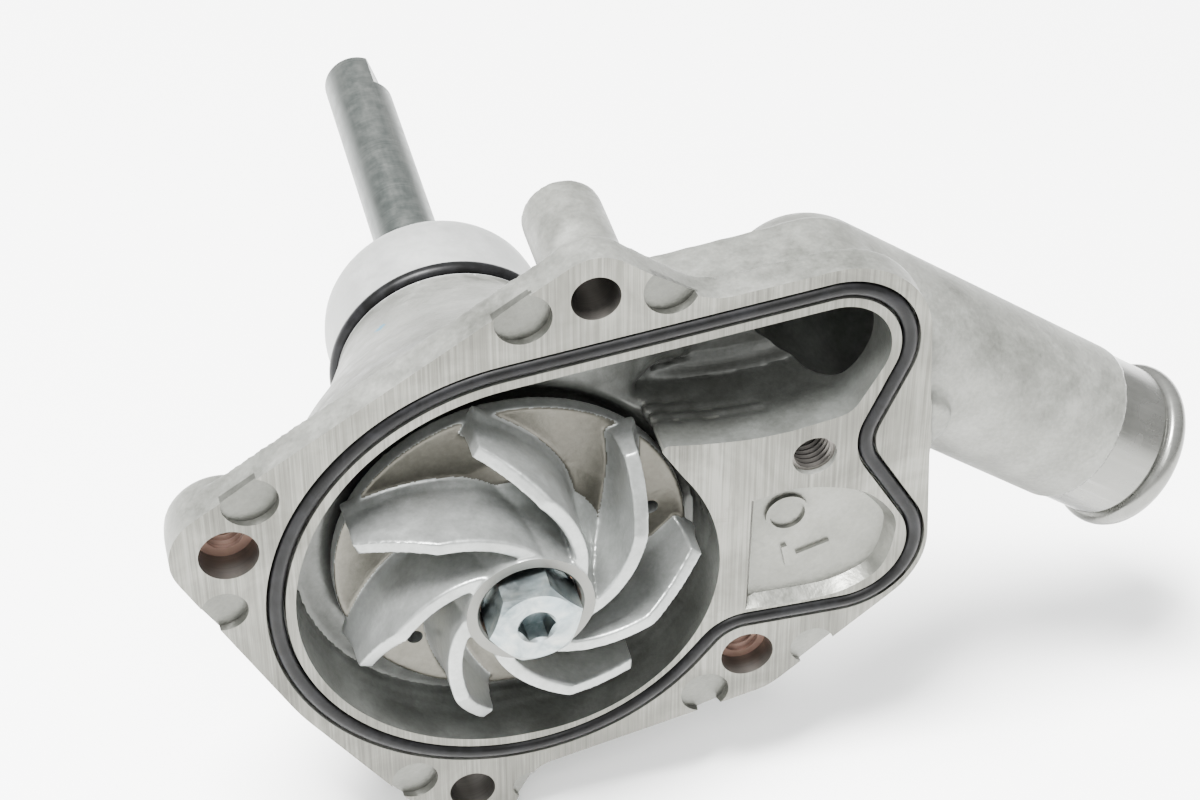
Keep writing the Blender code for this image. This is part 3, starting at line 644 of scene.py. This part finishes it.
def cavity():
    """Volute, outlet channel and the bowl behind the impeller, with cast corners."""
    fine = 0.5
    outline = without_repeats(opening_outline())
    solids = [
        prism("opening", opening_outline(), -4.0, CHAMBER_DEPTH - 3.8),
        prism("terrace_1", inward(outline, 0.4), -4.0, CHAMBER_DEPTH - 2.0),
        prism("terrace_2", inward(outline, 0.9), -4.0, CHAMBER_DEPTH),
        prism("channel", channel_outline(), -4.0, CHANNEL_DEPTH - 3.6),
        prism("channel_floor", channel_outline(), CHANNEL_DEPTH - 4.0, CHANNEL_DEPTH, 3.0),
        turned("bowl", [(0, 16.0), (16.2, 16.0), (21.5, 13.2), (24.9, CHAMBER_DEPTH - 0.3), (24.9, 2.0), (0, 2.0)],
               closed=False),
    ]
    for i in range(RAMP_STEPS):
        share = i / RAMP_STEPS
        solids.append(prism(f"ramp_{i}", channel_outline(12.5 + 11.5 * share), -4.0,
                            CHAMBER_DEPTH + 0.3 + (CHANNEL_DEPTH - 1.2 - CHAMBER_DEPTH) * share ** 1.3))
    return cast(join("cavity", solids), fine, 6)


def make_housing():
    steps = 128
    hub = [(0, HUB_END), (13.4, HUB_END), (14.9, 62.3), (15.9, 60.3), (HUB_RADIUS, 57.5), (HUB_RADIUS, 46.0),
           (17.6, 43.0), (19.6, 38.0), (21.8, 33.0), (24.5, 28.0), (27.4, 23.0), (29.8, 18.0), (32.0, 13.0),
           (33.6, 8.0), (33.6, 0.0), (0, 0.0)]
    port_body = ((42.6, 22.6, 5.6), (42.0, 29.7, 10.2), (14.0, 26.2, 10.2), (16.0, 22.0, 6.6))
    seat = NECK_LENGTH - SEAT_LENGTH
    neck = quarter(NECK_RADIUS) + [(NECK_RADIUS, seat - 0.4), (NECK_RADIUS - 0.5, seat), (0, seat)]
    solids = [
        prism("flange", belt(FLANGE_PATH), -2.5, FLANGE_THICKNESS),
        turned("cone", hub, steps=steps, closed=False),
        prism("port_body", belt(port_body), 0, CHANNEL_DEPTH + 0.6),
        prism("port_back", belt(port_body), CHANNEL_DEPTH + 0.2, CHANNEL_DEPTH + 3.2, 2.6),
        turned("neck_core", neck[::-1], neck_matrix(), steps, closed=False),
        rod("left_boss", *LEFT_HOLE, 7.5, 0, BOSS_DEPTH + 0.1, edge=3.0),
        rod("right_boss", *LOWER_RIGHT_HOLE, 7.4, 0, BOSS_DEPTH + 0.1, edge=2.0),
        rod("bottom_boss", *BOTTOM_HOLE, 7.1, 0, BOSS_DEPTH + 0.1, edge=2.0),
        rod("post", *TOP_HOLE, POST_RADIUS_SHOWN, 0, POST_END + 0.15, edge=0.8),
        rod("web_boss", *WEB_HOLE, 5.5, 0, 12.1, edge=1.2),
        rod("side_boss", SIDE_PAD[0], SIDE_PAD[1], SIDE_PAD[2] + 0.4, 0.6, 8.2, edge=1.0),
    ]
    body = cast(join("pump_housing_detail", solids), 0.55, 7)

    end = NECK_LENGTH
    lathe = [(8.9, end - SEAT_LENGTH - 1.5), (10.6, end - SEAT_LENGTH - 1.5), (SEAT_RADIUS, end - SEAT_LENGTH - 0.9)]
    lathe += [(SEAT_RADIUS, end - 4.6), (SEAT_RADIUS - 0.35, end - 4.3), (SEAT_RADIUS - 0.35, end - 3.9)]
    lathe += [(BEAD_RADIUS - 0.9 + 0.9 * math.cos(a), end - 2.3 + 1.5 * math.sin(a))
              for a in (math.radians(-80 + 20 * i) for i in range(9))]
    lathe += [(SEAT_RADIUS - 0.1, end - 0.6), (SEAT_RADIUS - 0.7, end), (8.9, end)]
    boolean(body, [turned("neck_end", [(0, lathe[0][1])] + lathe[1:-1] + [(0, end)], neck_matrix(), 160,
                          closed=False)], "UNION")

    top = turned("face_cut", [(0, 0), (130, 0), (130, -12), (0, -12)], steps=48, closed=False)
    groove = HUB_SEAL_CORD / 2 + CLEAR
    bearing = 11.3
    seat_front, seat_back, seat_radius = 16.0, 22.5, 12.3
    bore = [(0, HUB_END + 3), (bearing + 0.8, HUB_END + 3), (bearing + 0.8, HUB_END + 0.1), (bearing, HUB_END - 0.7),
            (bearing, 57.9), (bearing + 0.9, 57.9), (bearing + 0.9, 56.3), (bearing, 56.3), (bearing, 35.7),
            (7.6, 35.7), (7.6, 32.0), (10.0, 32.0), (10.0, seat_back), (seat_radius, seat_back),
            (seat_radius, seat_front - 1.0), (16.0, seat_front - 1.0), (16.0, CHAMBER_DEPTH), (0, CHAMBER_DEPTH)]
    neck_bore = quarter(NECK_BORE) + [(NECK_BORE, end - 0.6), (NECK_BORE + 0.6, end), (NECK_BORE + 0.6, end + 3),
                                      (0, end + 3)]
    pocket = smooth_points(((31.2, 7.0), (37.9, 8.0), (46.3, 5.9), (50.9, 1.6), (52.0, -2.5), (50.4, -8.6),
                            (46.6, -11.4), (41.5, -12.6), (31.0, -12.6)), 6)
    if sum(a[0] * b[1] - b[0] * a[1] for a, b in zip(pocket, pocket[1:] + pocket[:1])) < 0:
        pocket = pocket[::-1]
    wide = inward(without_repeats(pocket), -0.25)
    step = math.radians(2.5)
    weep = Matrix.Translation((0, 24.3 * MM, 0)) @ Matrix.Rotation(math.pi, 4, "X")
    cuts = [
        top,
        cavity(),
        turned("impeller_room", [(0, 9.1), (25.1, 9.1), (25.1, -0.6), (0, -0.6)], steps=160, closed=False),
        turned("shaft_bore", bore, steps=steps, closed=False),
        turned("neck_bore", neck_bore[::-1], neck_matrix(), 96, closed=False),
        ring_prism("seal_groove", belt(SEAL_PATH, GROOVE_HALF, step), belt(SEAL_PATH, -GROOVE_HALF, step), -1,
                   GROOVE_DEPTH),
        turned("hub_groove", [(20, HUB_SEAL_Y + groove), (HUB_RADIUS - 1.6, HUB_SEAL_Y + groove),
                              (HUB_RADIUS - 1.6, HUB_SEAL_Y - groove), (20, HUB_SEAL_Y - groove)], steps=steps),
        prism("pocket", wide, -0.6, 1.8, 1.5),
        rod("top_hole", *TOP_HOLE, THROUGH_RADIUS, -1, POST_END + 2),
        rod("bottom_hole", *BOTTOM_HOLE, THROUGH_RADIUS, -1, BOSS_DEPTH + 2),
        thread("left_thread", *LEFT_HOLE, THREAD_RADIUS, 4.0, BOSS_DEPTH + 2),
        rod("left_counterbore", *LEFT_HOLE, 3.9, -1, 4.5),
        thread("lower_right_thread", *LOWER_RIGHT_HOLE, THREAD_RADIUS, 3.0, BOSS_DEPTH + 2),
        rod("lower_right_counterbore", *LOWER_RIGHT_HOLE, 3.7, -1, 3.5),
        thread("web_thread", *WEB_HOLE, THREAD_RADIUS, 0.7, 9.0, 0.9),
        rod("web_mouth", *WEB_HOLE, THREAD_RADIUS + 0.45, -1, 0.9),
        turned("weep_hole", [(0, 32), (1.6, 32), (1.6, 5), (0, 5)], weep, 32, closed=False),
    ]
    for i, (x, z, size) in enumerate(FACE_PADS):
        pad = rod(f"pad_{i + 1}", x, z, size, -2, 0.6)
        lean = Matrix.Translation((x * MM, 0, z * MM)) @ PAD_LEAN @ Matrix.Translation((-x * MM, 0, -z * MM))
        pad.data.transform(lean)
        cuts.append(pad)
    boolean(body, cuts)
    marks = [turned("pocket_ring", [(3.0, 2.2), (3.0, 1.25), (2.45, 1.25), (2.45, 2.2)], at(36.8, 2.5), 48),
             prism("pocket_bar", [(36.2, -3.4), (36.9, -6.9), (37.6, -6.8), (37.0, -3.3)][::-1], 1.3, 2.2),
             prism("pocket_dash", [(38.6, -5.6), (43.2, -4.2), (43.0, -3.6), (38.4, -5.0)], 1.3, 2.2)]
    boolean(body, marks, "UNION")
    paint_housing(body)
    shade(body, 34)
    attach(body, "housing_body")
    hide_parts("pump_housing")
    return body


def paint_housing(body):
    """Give each face the finish of its place: cast skin, milled, turned, painted shade in the cavity and neck bore,
    blasted.
    """
    mesh = body.data
    mesh.materials.clear()
    skins = [CAST, FACE, SHADED_INSIDE, HOLE, SEAT, BLASTED, THREAD, POCKET, PAD, PAINT]
    for skin in skins:
        mesh.materials.append(skin)
    count = len(mesh.polygons)
    centres, normals = np.empty(count * 3), np.empty(count * 3)
    mesh.polygons.foreach_get("center", centres)
    mesh.polygons.foreach_get("normal", normals)
    centres, normals = centres.reshape(-1, 3) / MM, normals.reshape(-1, 3)
    x, y, z = centres.T
    facing = normals[:, 1]

    def near(hole, radius):
        return np.hypot(x - hole[0], z - hole[1]) < radius

    outline = np.array(without_repeats(inward(without_repeats(opening_outline()), -0.35)))
    within = np.zeros(count, bool)
    for (ax, az), (bx, bz) in zip(outline, np.roll(outline, -1, 0)):
        crosses = (az > z) != (bz > z)
        with np.errstate(divide="ignore", invalid="ignore"):
            within ^= crosses & (x < (bx - ax) * (z - az) / (bz - az) + ax)
    direction = np.array((math.cos(NECK_ANGLE), 0, -math.sin(NECK_ANGLE)))
    from_elbow = centres - np.array((NECK_START[0], NECK_Y, NECK_START[1]))
    along = from_elbow @ direction
    off = np.linalg.norm(from_elbow - along[:, None] * direction, axis=1)
    axis_distance = np.hypot(x, z)
    pads = np.zeros(count, bool)
    for px, pz, size in FACE_PADS:
        pads |= near((px, pz), size + 0.1)
    places = (
        # painted shade: darker cast skin inside the volute and outlet channel
        (SHADED_INSIDE, within & (y > 0.02) & (y < 16.2)),
        (BLASTED, (y > 46.3) & (axis_distance < 18)),
        (HOLE, (axis_distance < 12.5) & (y > 10)),
        (POCKET, (x > 30) & (x < 54) & (z > -14) & (z < 9) & (y > 0.01) & (y < 2.4) & (axis_distance > 30)),
        # painted shade: darker cast skin inside the neck bore
        (SHADED_INSIDE, (off < NECK_BORE + 0.3) & (along > 0) & (x > 40)),
        (SEAT, (along > NECK_LENGTH - SEAT_LENGTH - 0.75) & (off > 8.0)),
        (HOLE, near(TOP_HOLE, 3.4) | near(BOTTOM_HOLE, 3.4)),
        (HOLE, near(WEB_HOLE, 4.1) & (y > 0.5) & (y < 9.5)),
        (HOLE, near(LEFT_HOLE, 4.1) | near(LOWER_RIGHT_HOLE, 4.1)),
        (THREAD, near(LEFT_HOLE, 3.3) | near(LOWER_RIGHT_HOLE, 3.3)),
        (PAD, pads & (y > 0.01) & (y < 1.6)),
        (PAINT, np.linalg.norm(centres - np.array(PAINT_MARK), axis=1) < 0.85 + 0.3 * np.sin(5 * x + 4 * y)),
        (FACE, (y < 0.01) & (facing < -0.98)),
    )
    index = np.zeros(count, np.int32)
    for skin, where in places:
        index[where] = skins.index(skin)
    mesh.polygons.foreach_set("material_index", index)


# ---------------------------------------------------------------- seals on the housing

def make_seals():
    outline = belt(SEAL_PATH, 0, math.radians(3))
    cord = shade(tube("cover_seal_detail", outline, SEAL_CORD + 0.15, SEAL_CORD / 2 - CLEAR, 24), 60)
    fit_out(cord, RUBBER, "housing_body", "seal_rubber", "cover_seal")
    ring = [(HUB_RADIUS - 0.2 + HUB_SEAL_CORD / 2 * math.cos(t), HUB_SEAL_Y + HUB_SEAL_CORD / 2 * math.sin(t))
            for t in (TAU * k / 28 for k in range(28))]
    cord = shade(turned("hub_o_ring_detail", ring, steps=160), 60)
    fit_out(cord, RUBBER, "housing_body", "seal_rubber", "hub_o_ring")


def fit_out(thing, skin, body, slot_name, *nodes):
    thing.data.materials.clear()
    thing.data.materials.append(skin)
    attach(thing, body)
    if nodes:
        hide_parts(*nodes)


# ---------------------------------------------------------------- rotor

def vane(name, tip):
    """Blade along a logarithmic spiral, thick at its root."""
    inner, count = 7.0, 40
    bottom = DISC_FRONT + 1.0
    shape = bmesh.new()
    rows = []
    for i in range(count + 1):
        radius = inner + (IMPELLER_RADIUS - 0.15 - inner) * i / count
        top = VANE_TOP - 0.35
        if radius > VANE_SHOULDER:
            top -= (VANE_TOP) * (radius - VANE_SHOULDER) / (IMPELLER_RADIUS - VANE_SHOULDER)
        angle = tip - VANE_TWIST * math.log(IMPELLER_RADIUS / radius)
        centre = Vector((radius * math.cos(angle), radius * math.sin(angle)))
        ahead = math.atan2(1.0, 1.0 / VANE_TWIST)
        side = Vector((math.cos(angle + ahead + math.pi / 2), math.sin(angle + ahead + math.pi / 2)))
        row = []
        for height, half in ((top, 1.0), (DISC_FRONT - 3.5, 1.15), (DISC_FRONT - 1.4, 1.45), (DISC_FRONT - 0.1, 2.1),
                             (bottom, 2.1)):
            for sign in (-1, 1):
                spot = centre + sign * half * side
                row.append(shape.verts.new((spot.x * MM, height * MM, spot.y * MM)))
        rows.append([row[k] for k in (0, 1, 3, 5, 7, 9, 8, 6, 4, 2)])
    for one, two in zip(rows, rows[1:]):
        for k in range(10):
            m = (k + 1) % 10
            shape.faces.new((one[k], one[m], two[m], two[k]))
    ends = [shape.faces.new(rows[0][::-1]), shape.faces.new(rows[-1])]
    bmesh.ops.triangulate(shape, faces=ends)
    bmesh.ops.recalc_face_normals(shape, faces=shape.faces)
    mesh = bpy.data.meshes.new(name)
    shape.to_mesh(mesh)
    shape.free()
    return link(name, mesh)


def make_impeller():
    boss = 10.9
    body = [(0, boss), (11.2, boss), (11.2, DISC_BACK), (IMPELLER_RADIUS, DISC_BACK),
            (IMPELLER_RADIUS, DISC_FRONT), (15.5, DISC_FRONT), (12.6, DISC_FRONT - 0.7), (10.6, 2.6), (9.3, -1.0),
            (HUB_RING_RADIUS + 0.3, HUB_RING_FRONT + 1.0), (HUB_RING_RADIUS + 0.1, HUB_RING_FRONT - 1.2),
            (0, HUB_RING_FRONT - 1.2)]
    solids = [turned("disc", body, steps=128, closed=False)]
    solids += [vane(f"vane_{i + 1}", FIRST_TIP + i * TAU / VANES) for i in range(VANES)]
    wheel = cast(join("impeller_detail", solids), 0.24, 8)
    bore = SHAFT_RADIUS + CLEAR
    recess = [(0, 12), (10.0, 12), (10.0, 7.5), (bore, 7.5), (bore, SHAFT_FRONT - CLEAR), (3.4, SHAFT_FRONT - CLEAR),
              (3.4, WASHER_SEAT), (BOLT_RECESS, WASHER_SEAT), (BOLT_RECESS, HUB_RING_FRONT + 0.35),
              (BOLT_RECESS + 0.4, HUB_RING_FRONT - 0.05), (BOLT_RECESS + 0.4, -12), (0, -12)]
    cuts = [
        turned("front_cut", [(0, HUB_RING_FRONT), (40, HUB_RING_FRONT), (40, -14), (0, -14)], steps=48, closed=False),
        turned("impeller_bore", recess, steps=128, closed=False),
    ]
    for i, (x, z) in enumerate(((19.0, 3.7), (-13.6, -12.7))):
        cuts.append(rod(f"balance_hole_{i + 1}", x, z, 1.1, 3, 11, 32))
    boolean(wheel, cuts)
    mesh = wheel.data
    mesh.materials.clear()
    mesh.materials.append(BLADE)
    mesh.materials.append(BLADE_CUT)
    mesh.materials.append(DISC)
    for face in mesh.polygons:
        x, y, z = (c / MM for c in face.center)
        radius = math.hypot(x, z)
        cut = (y < HUB_RING_FRONT + 0.02 and face.normal.y < -0.9) or (radius < BOLT_RECESS + 0.45 and y < 7.6)
        plain = y > DISC_FRONT - 1.2 and face.normal.y < -0.8
        face.material_index = 1 if cut else 2 if plain else 0
    shade(wheel, 36)
    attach(wheel, "rotor")
    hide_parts("impeller")


def make_bolt():
    back = WASHER_SEAT - 1.6
    corner = BOLT_HEX / 2 / math.cos(math.pi / 6) + 0.1
    flat = BOLT_HEX / 2 - 0.12
    bolt = prism("impeller_bolt_detail", hexagon(BOLT_HEX, math.radians(12)), BOLT_FRONT, back)
    rounding = [(0, back + 1), (corner, back + 1), (corner, BOLT_FRONT + 0.75), (flat + 0.12, BOLT_FRONT + 0.14),
                (flat - 0.05, BOLT_FRONT + 0.02), (flat - 0.25, BOLT_FRONT), (0, BOLT_FRONT)]
    crown = turned("bolt_crown", rounding, steps=96, closed=False)
    boolean(bolt, [crown], "INTERSECT")
    collar = [(0, back), (6.15, back), (6.15, back - 0.5), (5.9, back - 0.75), (0, back - 0.75)]
    boolean(bolt, [rod("bolt_shank", 0, 0, 2.7, back - 1, 15.0, 64, 0.6),
                   turned("bolt_collar", collar, steps=96, closed=False)], "UNION")
    socket = prism("bolt_socket", hexagon(SOCKET_HEX, math.radians(4)), BOLT_FRONT - 1, BOLT_FRONT + 3.2)
    lead = turned("socket_lead", [(0, BOLT_FRONT - 0.5), (3.15, BOLT_FRONT - 0.5), (1.95, BOLT_FRONT + 0.7),
                                  (0, BOLT_FRONT + 0.7)][::-1], steps=64, closed=False)
    boolean(bolt, [socket, lead])
    shade(bolt, 24)
    fit_out(bolt, ZINC, "rotor", "zinc_steel", "impeller_bolt")


def make_shaft():
    clip = SHAFT_RADIUS - 0.6
    outline = [(0, SHAFT_END), (SHAFT_RADIUS - 1.5, SHAFT_END)]
    outline += [(SHAFT_RADIUS - 1.5 + 1.5 * math.sin(a), SHAFT_END - 1.5 + 1.5 * math.cos(a))
                for a in (math.pi / 2 * i / 8 for i in range(1, 9))]
    for low, high in ((56.4, 58.0), (34.2, 35.8)):
        outline += [(SHAFT_RADIUS, high), (clip, high), (clip, low), (SHAFT_RADIUS, low)]
    outline += [(SHAFT_RADIUS, SHAFT_FRONT + 0.5), (SHAFT_RADIUS - 0.5, SHAFT_FRONT), (3.0, SHAFT_FRONT), (3.0, 16.0),
                (0, 17.6)]
    shaft = turned("pump_shaft_detail", outline, steps=128, closed=False)
    depth = 6.0
    distance = SHAFT_RADIUS - DRIVE_FLAT_DEPTH + depth / 2
    shape = bmesh.new()
    bmesh.ops.create_cube(shape, size=1)
    shape.transform(Matrix.Translation((0, SHAFT_END * MM, 0)) @ Matrix.Rotation(-DRIVE_FLAT_ANGLE, 4, "Y")
                    @ Matrix.Translation((distance * MM, 0, 0))
                    @ Matrix.Diagonal((depth * MM, 2 * DRIVE_FLAT_LENGTH * MM, 14 * MM, 1)))
    mesh = bpy.data.meshes.new("drive_flat")
    shape.to_mesh(mesh)
    shape.free()
    boolean(shaft, [link("drive_flat", mesh)])
    shade(shaft, 30)
    fit_out(shaft, SHAFT, "rotor", "dark_steel", "pump_shaft")


def make_bearings():
    """The two ball bearings, with round races."""
    for side, centre in (("front", 39.0), ("rear", 53.0)):
        race = 1.5875 + 0.3
        groove = [(8.0 - race * math.cos(a), centre + race * math.sin(a)) for a in
                  (math.radians(38 - 7.6 * i) for i in range(11))]
        inner = [(7.0, centre + 2.8), (7.0, groove[0][1])] + groove[1:-1] + [(7.0, groove[-1][1]), (7.0, centre - 2.8),
                 (6.8, centre - 3.0), (5.5, centre - 3.0), (5.3, centre - 2.8), (5.3, centre + 2.8),
                 (5.5, centre + 3.0), (6.8, centre + 3.0)]
        ring = shade(turned(f"{side}_inner_ring_detail", inner, steps=96), 30)
        fit_out(ring, BEARING, "rotor", "bearing_steel", f"{side}_bearing_inner_ring")
        groove = [(8.0 + race * math.cos(a), centre + race * math.sin(a)) for a in
                  (math.radians(-38 + 7.6 * i) for i in range(11))]
        outer = [(9.1, centre - 2.8), (9.1, groove[0][1])] + groove[1:-1] + [(9.1, groove[-1][1]), (9.1, centre + 2.8),
                 (9.3, centre + 3.0), (10.7, centre + 3.0), (11.0, centre + 2.7), (11.0, centre - 2.7),
                 (10.7, centre - 3.0), (9.3, centre - 3.0)]
        ring = shade(turned(f"{side}_outer_ring_detail", outer, steps=128), 30)
        fit_out(ring, BEARING, "housing_body", "bearing_steel", f"{side}_bearing_outer_ring")
        for i in range(9):
            angle = TAU * i / 9
            shape = bmesh.new()
            bmesh.ops.create_uvsphere(shape, u_segments=28, v_segments=16, radius=1.5875 * MM)
            mesh = bpy.data.meshes.new("ball")
            shape.to_mesh(mesh)
            shape.free()
            mesh.transform(Matrix.Translation(Vector((8.0 * math.cos(angle), centre, 8.0 * math.sin(angle))) * MM))
            mesh.shade_smooth()
            ball = link(f"{side}_ball_detail_{i + 1}", mesh)
            fit_out(ball, BEARING, f"{side}_cage_set", "bearing_steel", f"{side}_bearing_ball_{i + 1}")


def make_circlips():
    for name, inner, outer, low, high, gap, facing, body in (
            ("shaft_circlip_front", 4.7, 6.6, 34.5, 35.5, 40, 90, "rotor"),
            ("shaft_circlip_rear", 4.7, 6.6, 56.7, 57.7, 40, 90, "rotor"),
            ("bearing_circlip", 9.4, 11.9, 56.6, 57.6, 50, -90, "housing_body")):
        start, end = math.radians(facing + gap / 2), math.radians(facing + 360 - gap / 2)
        outline = arc(0, 0, outer, start, end) + arc(0, 0, inner, end, start)
        clip = prism(name + "_detail", outline, low, high)
        edge = clip.modifiers.new("Edge", "BEVEL")
        edge.width = 0.12 * MM
        edge.segments = 2
        edge.limit_method = "ANGLE"
        bake(clip)
        shade(clip, 34)
        fit_out(clip, SPRING, body, "spring_steel", name)


def finish_cad_nodes():
    """The pieces whose CAD shape stays, each with its own finish."""
    skins = {"oil_seal": RUBBER, "seal_bellows": RUBBER, "seal_seat_cup": RUBBER, "oil_seal_spring": SPRING,
             "seal_spring": SPRING, "seal_case": STAINLESS, "seal_seat": CERAMIC, "seal_carbon_ring": CARBON,
             "bolt_washer": COPPER, "spacer_sleeve": BEARING, "front_bearing_cage": POLYMER,
             "rear_bearing_cage": POLYMER}
    for name, skin in skins.items():
        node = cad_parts[name]
        for slot in node.material_slots:
            slot.material = skin
        if not node.material_slots:
            node.data.materials.append(skin)


# ---------------------------------------------------------------- stage, light, camera

def make_stage():
    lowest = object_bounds()[0][2]
    shape = bmesh.new()
    bmesh.ops.create_grid(shape, x_segments=2, y_segments=2, size=2.5)
    mesh = bpy.data.meshes.new("floor")
    shape.to_mesh(mesh)
    shape.free()
    floor = link("floor", mesh)
    floor.location.z = lowest - 0.0002
    n = Nodes("floor_white")
    n.finish((0.92, 0.92, 0.91), 0.0, 0.6)
    mesh.materials.append(n.material)

    world = bpy.data.worlds.new("studio")
    bpy.context.scene.world = world
    world.use_nodes = True
    tree = world.node_tree
    back = tree.nodes["Background"]
    split = tree.nodes.new("ShaderNodeSeparateXYZ")
    tree.links.new(tree.nodes.new("ShaderNodeTexCoord").outputs["Generated"], split.inputs[0])
    sky = tree.nodes.new("ShaderNodeValToRGB")
    tree.links.new(split.outputs["Z"], sky.inputs["Fac"])
    sky.color_ramp.elements[0].position, sky.color_ramp.elements[1].position = 0.05, 0.75
    sky.color_ramp.elements[0].color = (0.30, 0.30, 0.29, 1.0)
    sky.color_ramp.elements[1].color = (0.97, 0.985, 1.0, 1.0)
    tree.links.new(sky.outputs["Color"], back.inputs["Color"])
    back.inputs["Strength"].default_value = 2.3

    def panel(name, place, size, power, colour=(1, 1, 1)):
        lamp = bpy.data.lights.new(name, "AREA")
        lamp.shape = "RECTANGLE"
        lamp.size, lamp.size_y = size
        lamp.energy = power
        lamp.color = colour
        thing = bpy.data.objects.new(name, lamp)
        bpy.context.scene.collection.objects.link(thing)
        thing.location = place
        thing.rotation_euler = (-Vector(place)).to_track_quat("-Z", "Y").to_euler()

    panel("key", (-0.28, -0.16, 1.15), (0.5, 0.4), 115)
    panel("front", (-0.10, -0.80, 0.95), (0.5, 0.4), 10)


def make_camera():
    data = bpy.data.cameras.new("camera")
    data.sensor_width = 36.0
    data.lens = 84.39
    data.clip_start = 0.01
    camera = bpy.data.objects.new("camera", data)
    bpy.context.scene.collection.objects.link(camera)
    azimuth, elevation = math.radians(-13.955), math.radians(38.695)
    camera.location = (-0.055974, -0.268198, 0.249425)
    camera.rotation_euler = (math.pi / 2 - elevation, 0, azimuth)
    bpy.context.scene.camera = camera


make_camera()
make_housing()
make_seals()
make_impeller()
make_bolt()
make_shaft()
make_bearings()
make_circlips()
finish_cad_nodes()
make_stage()
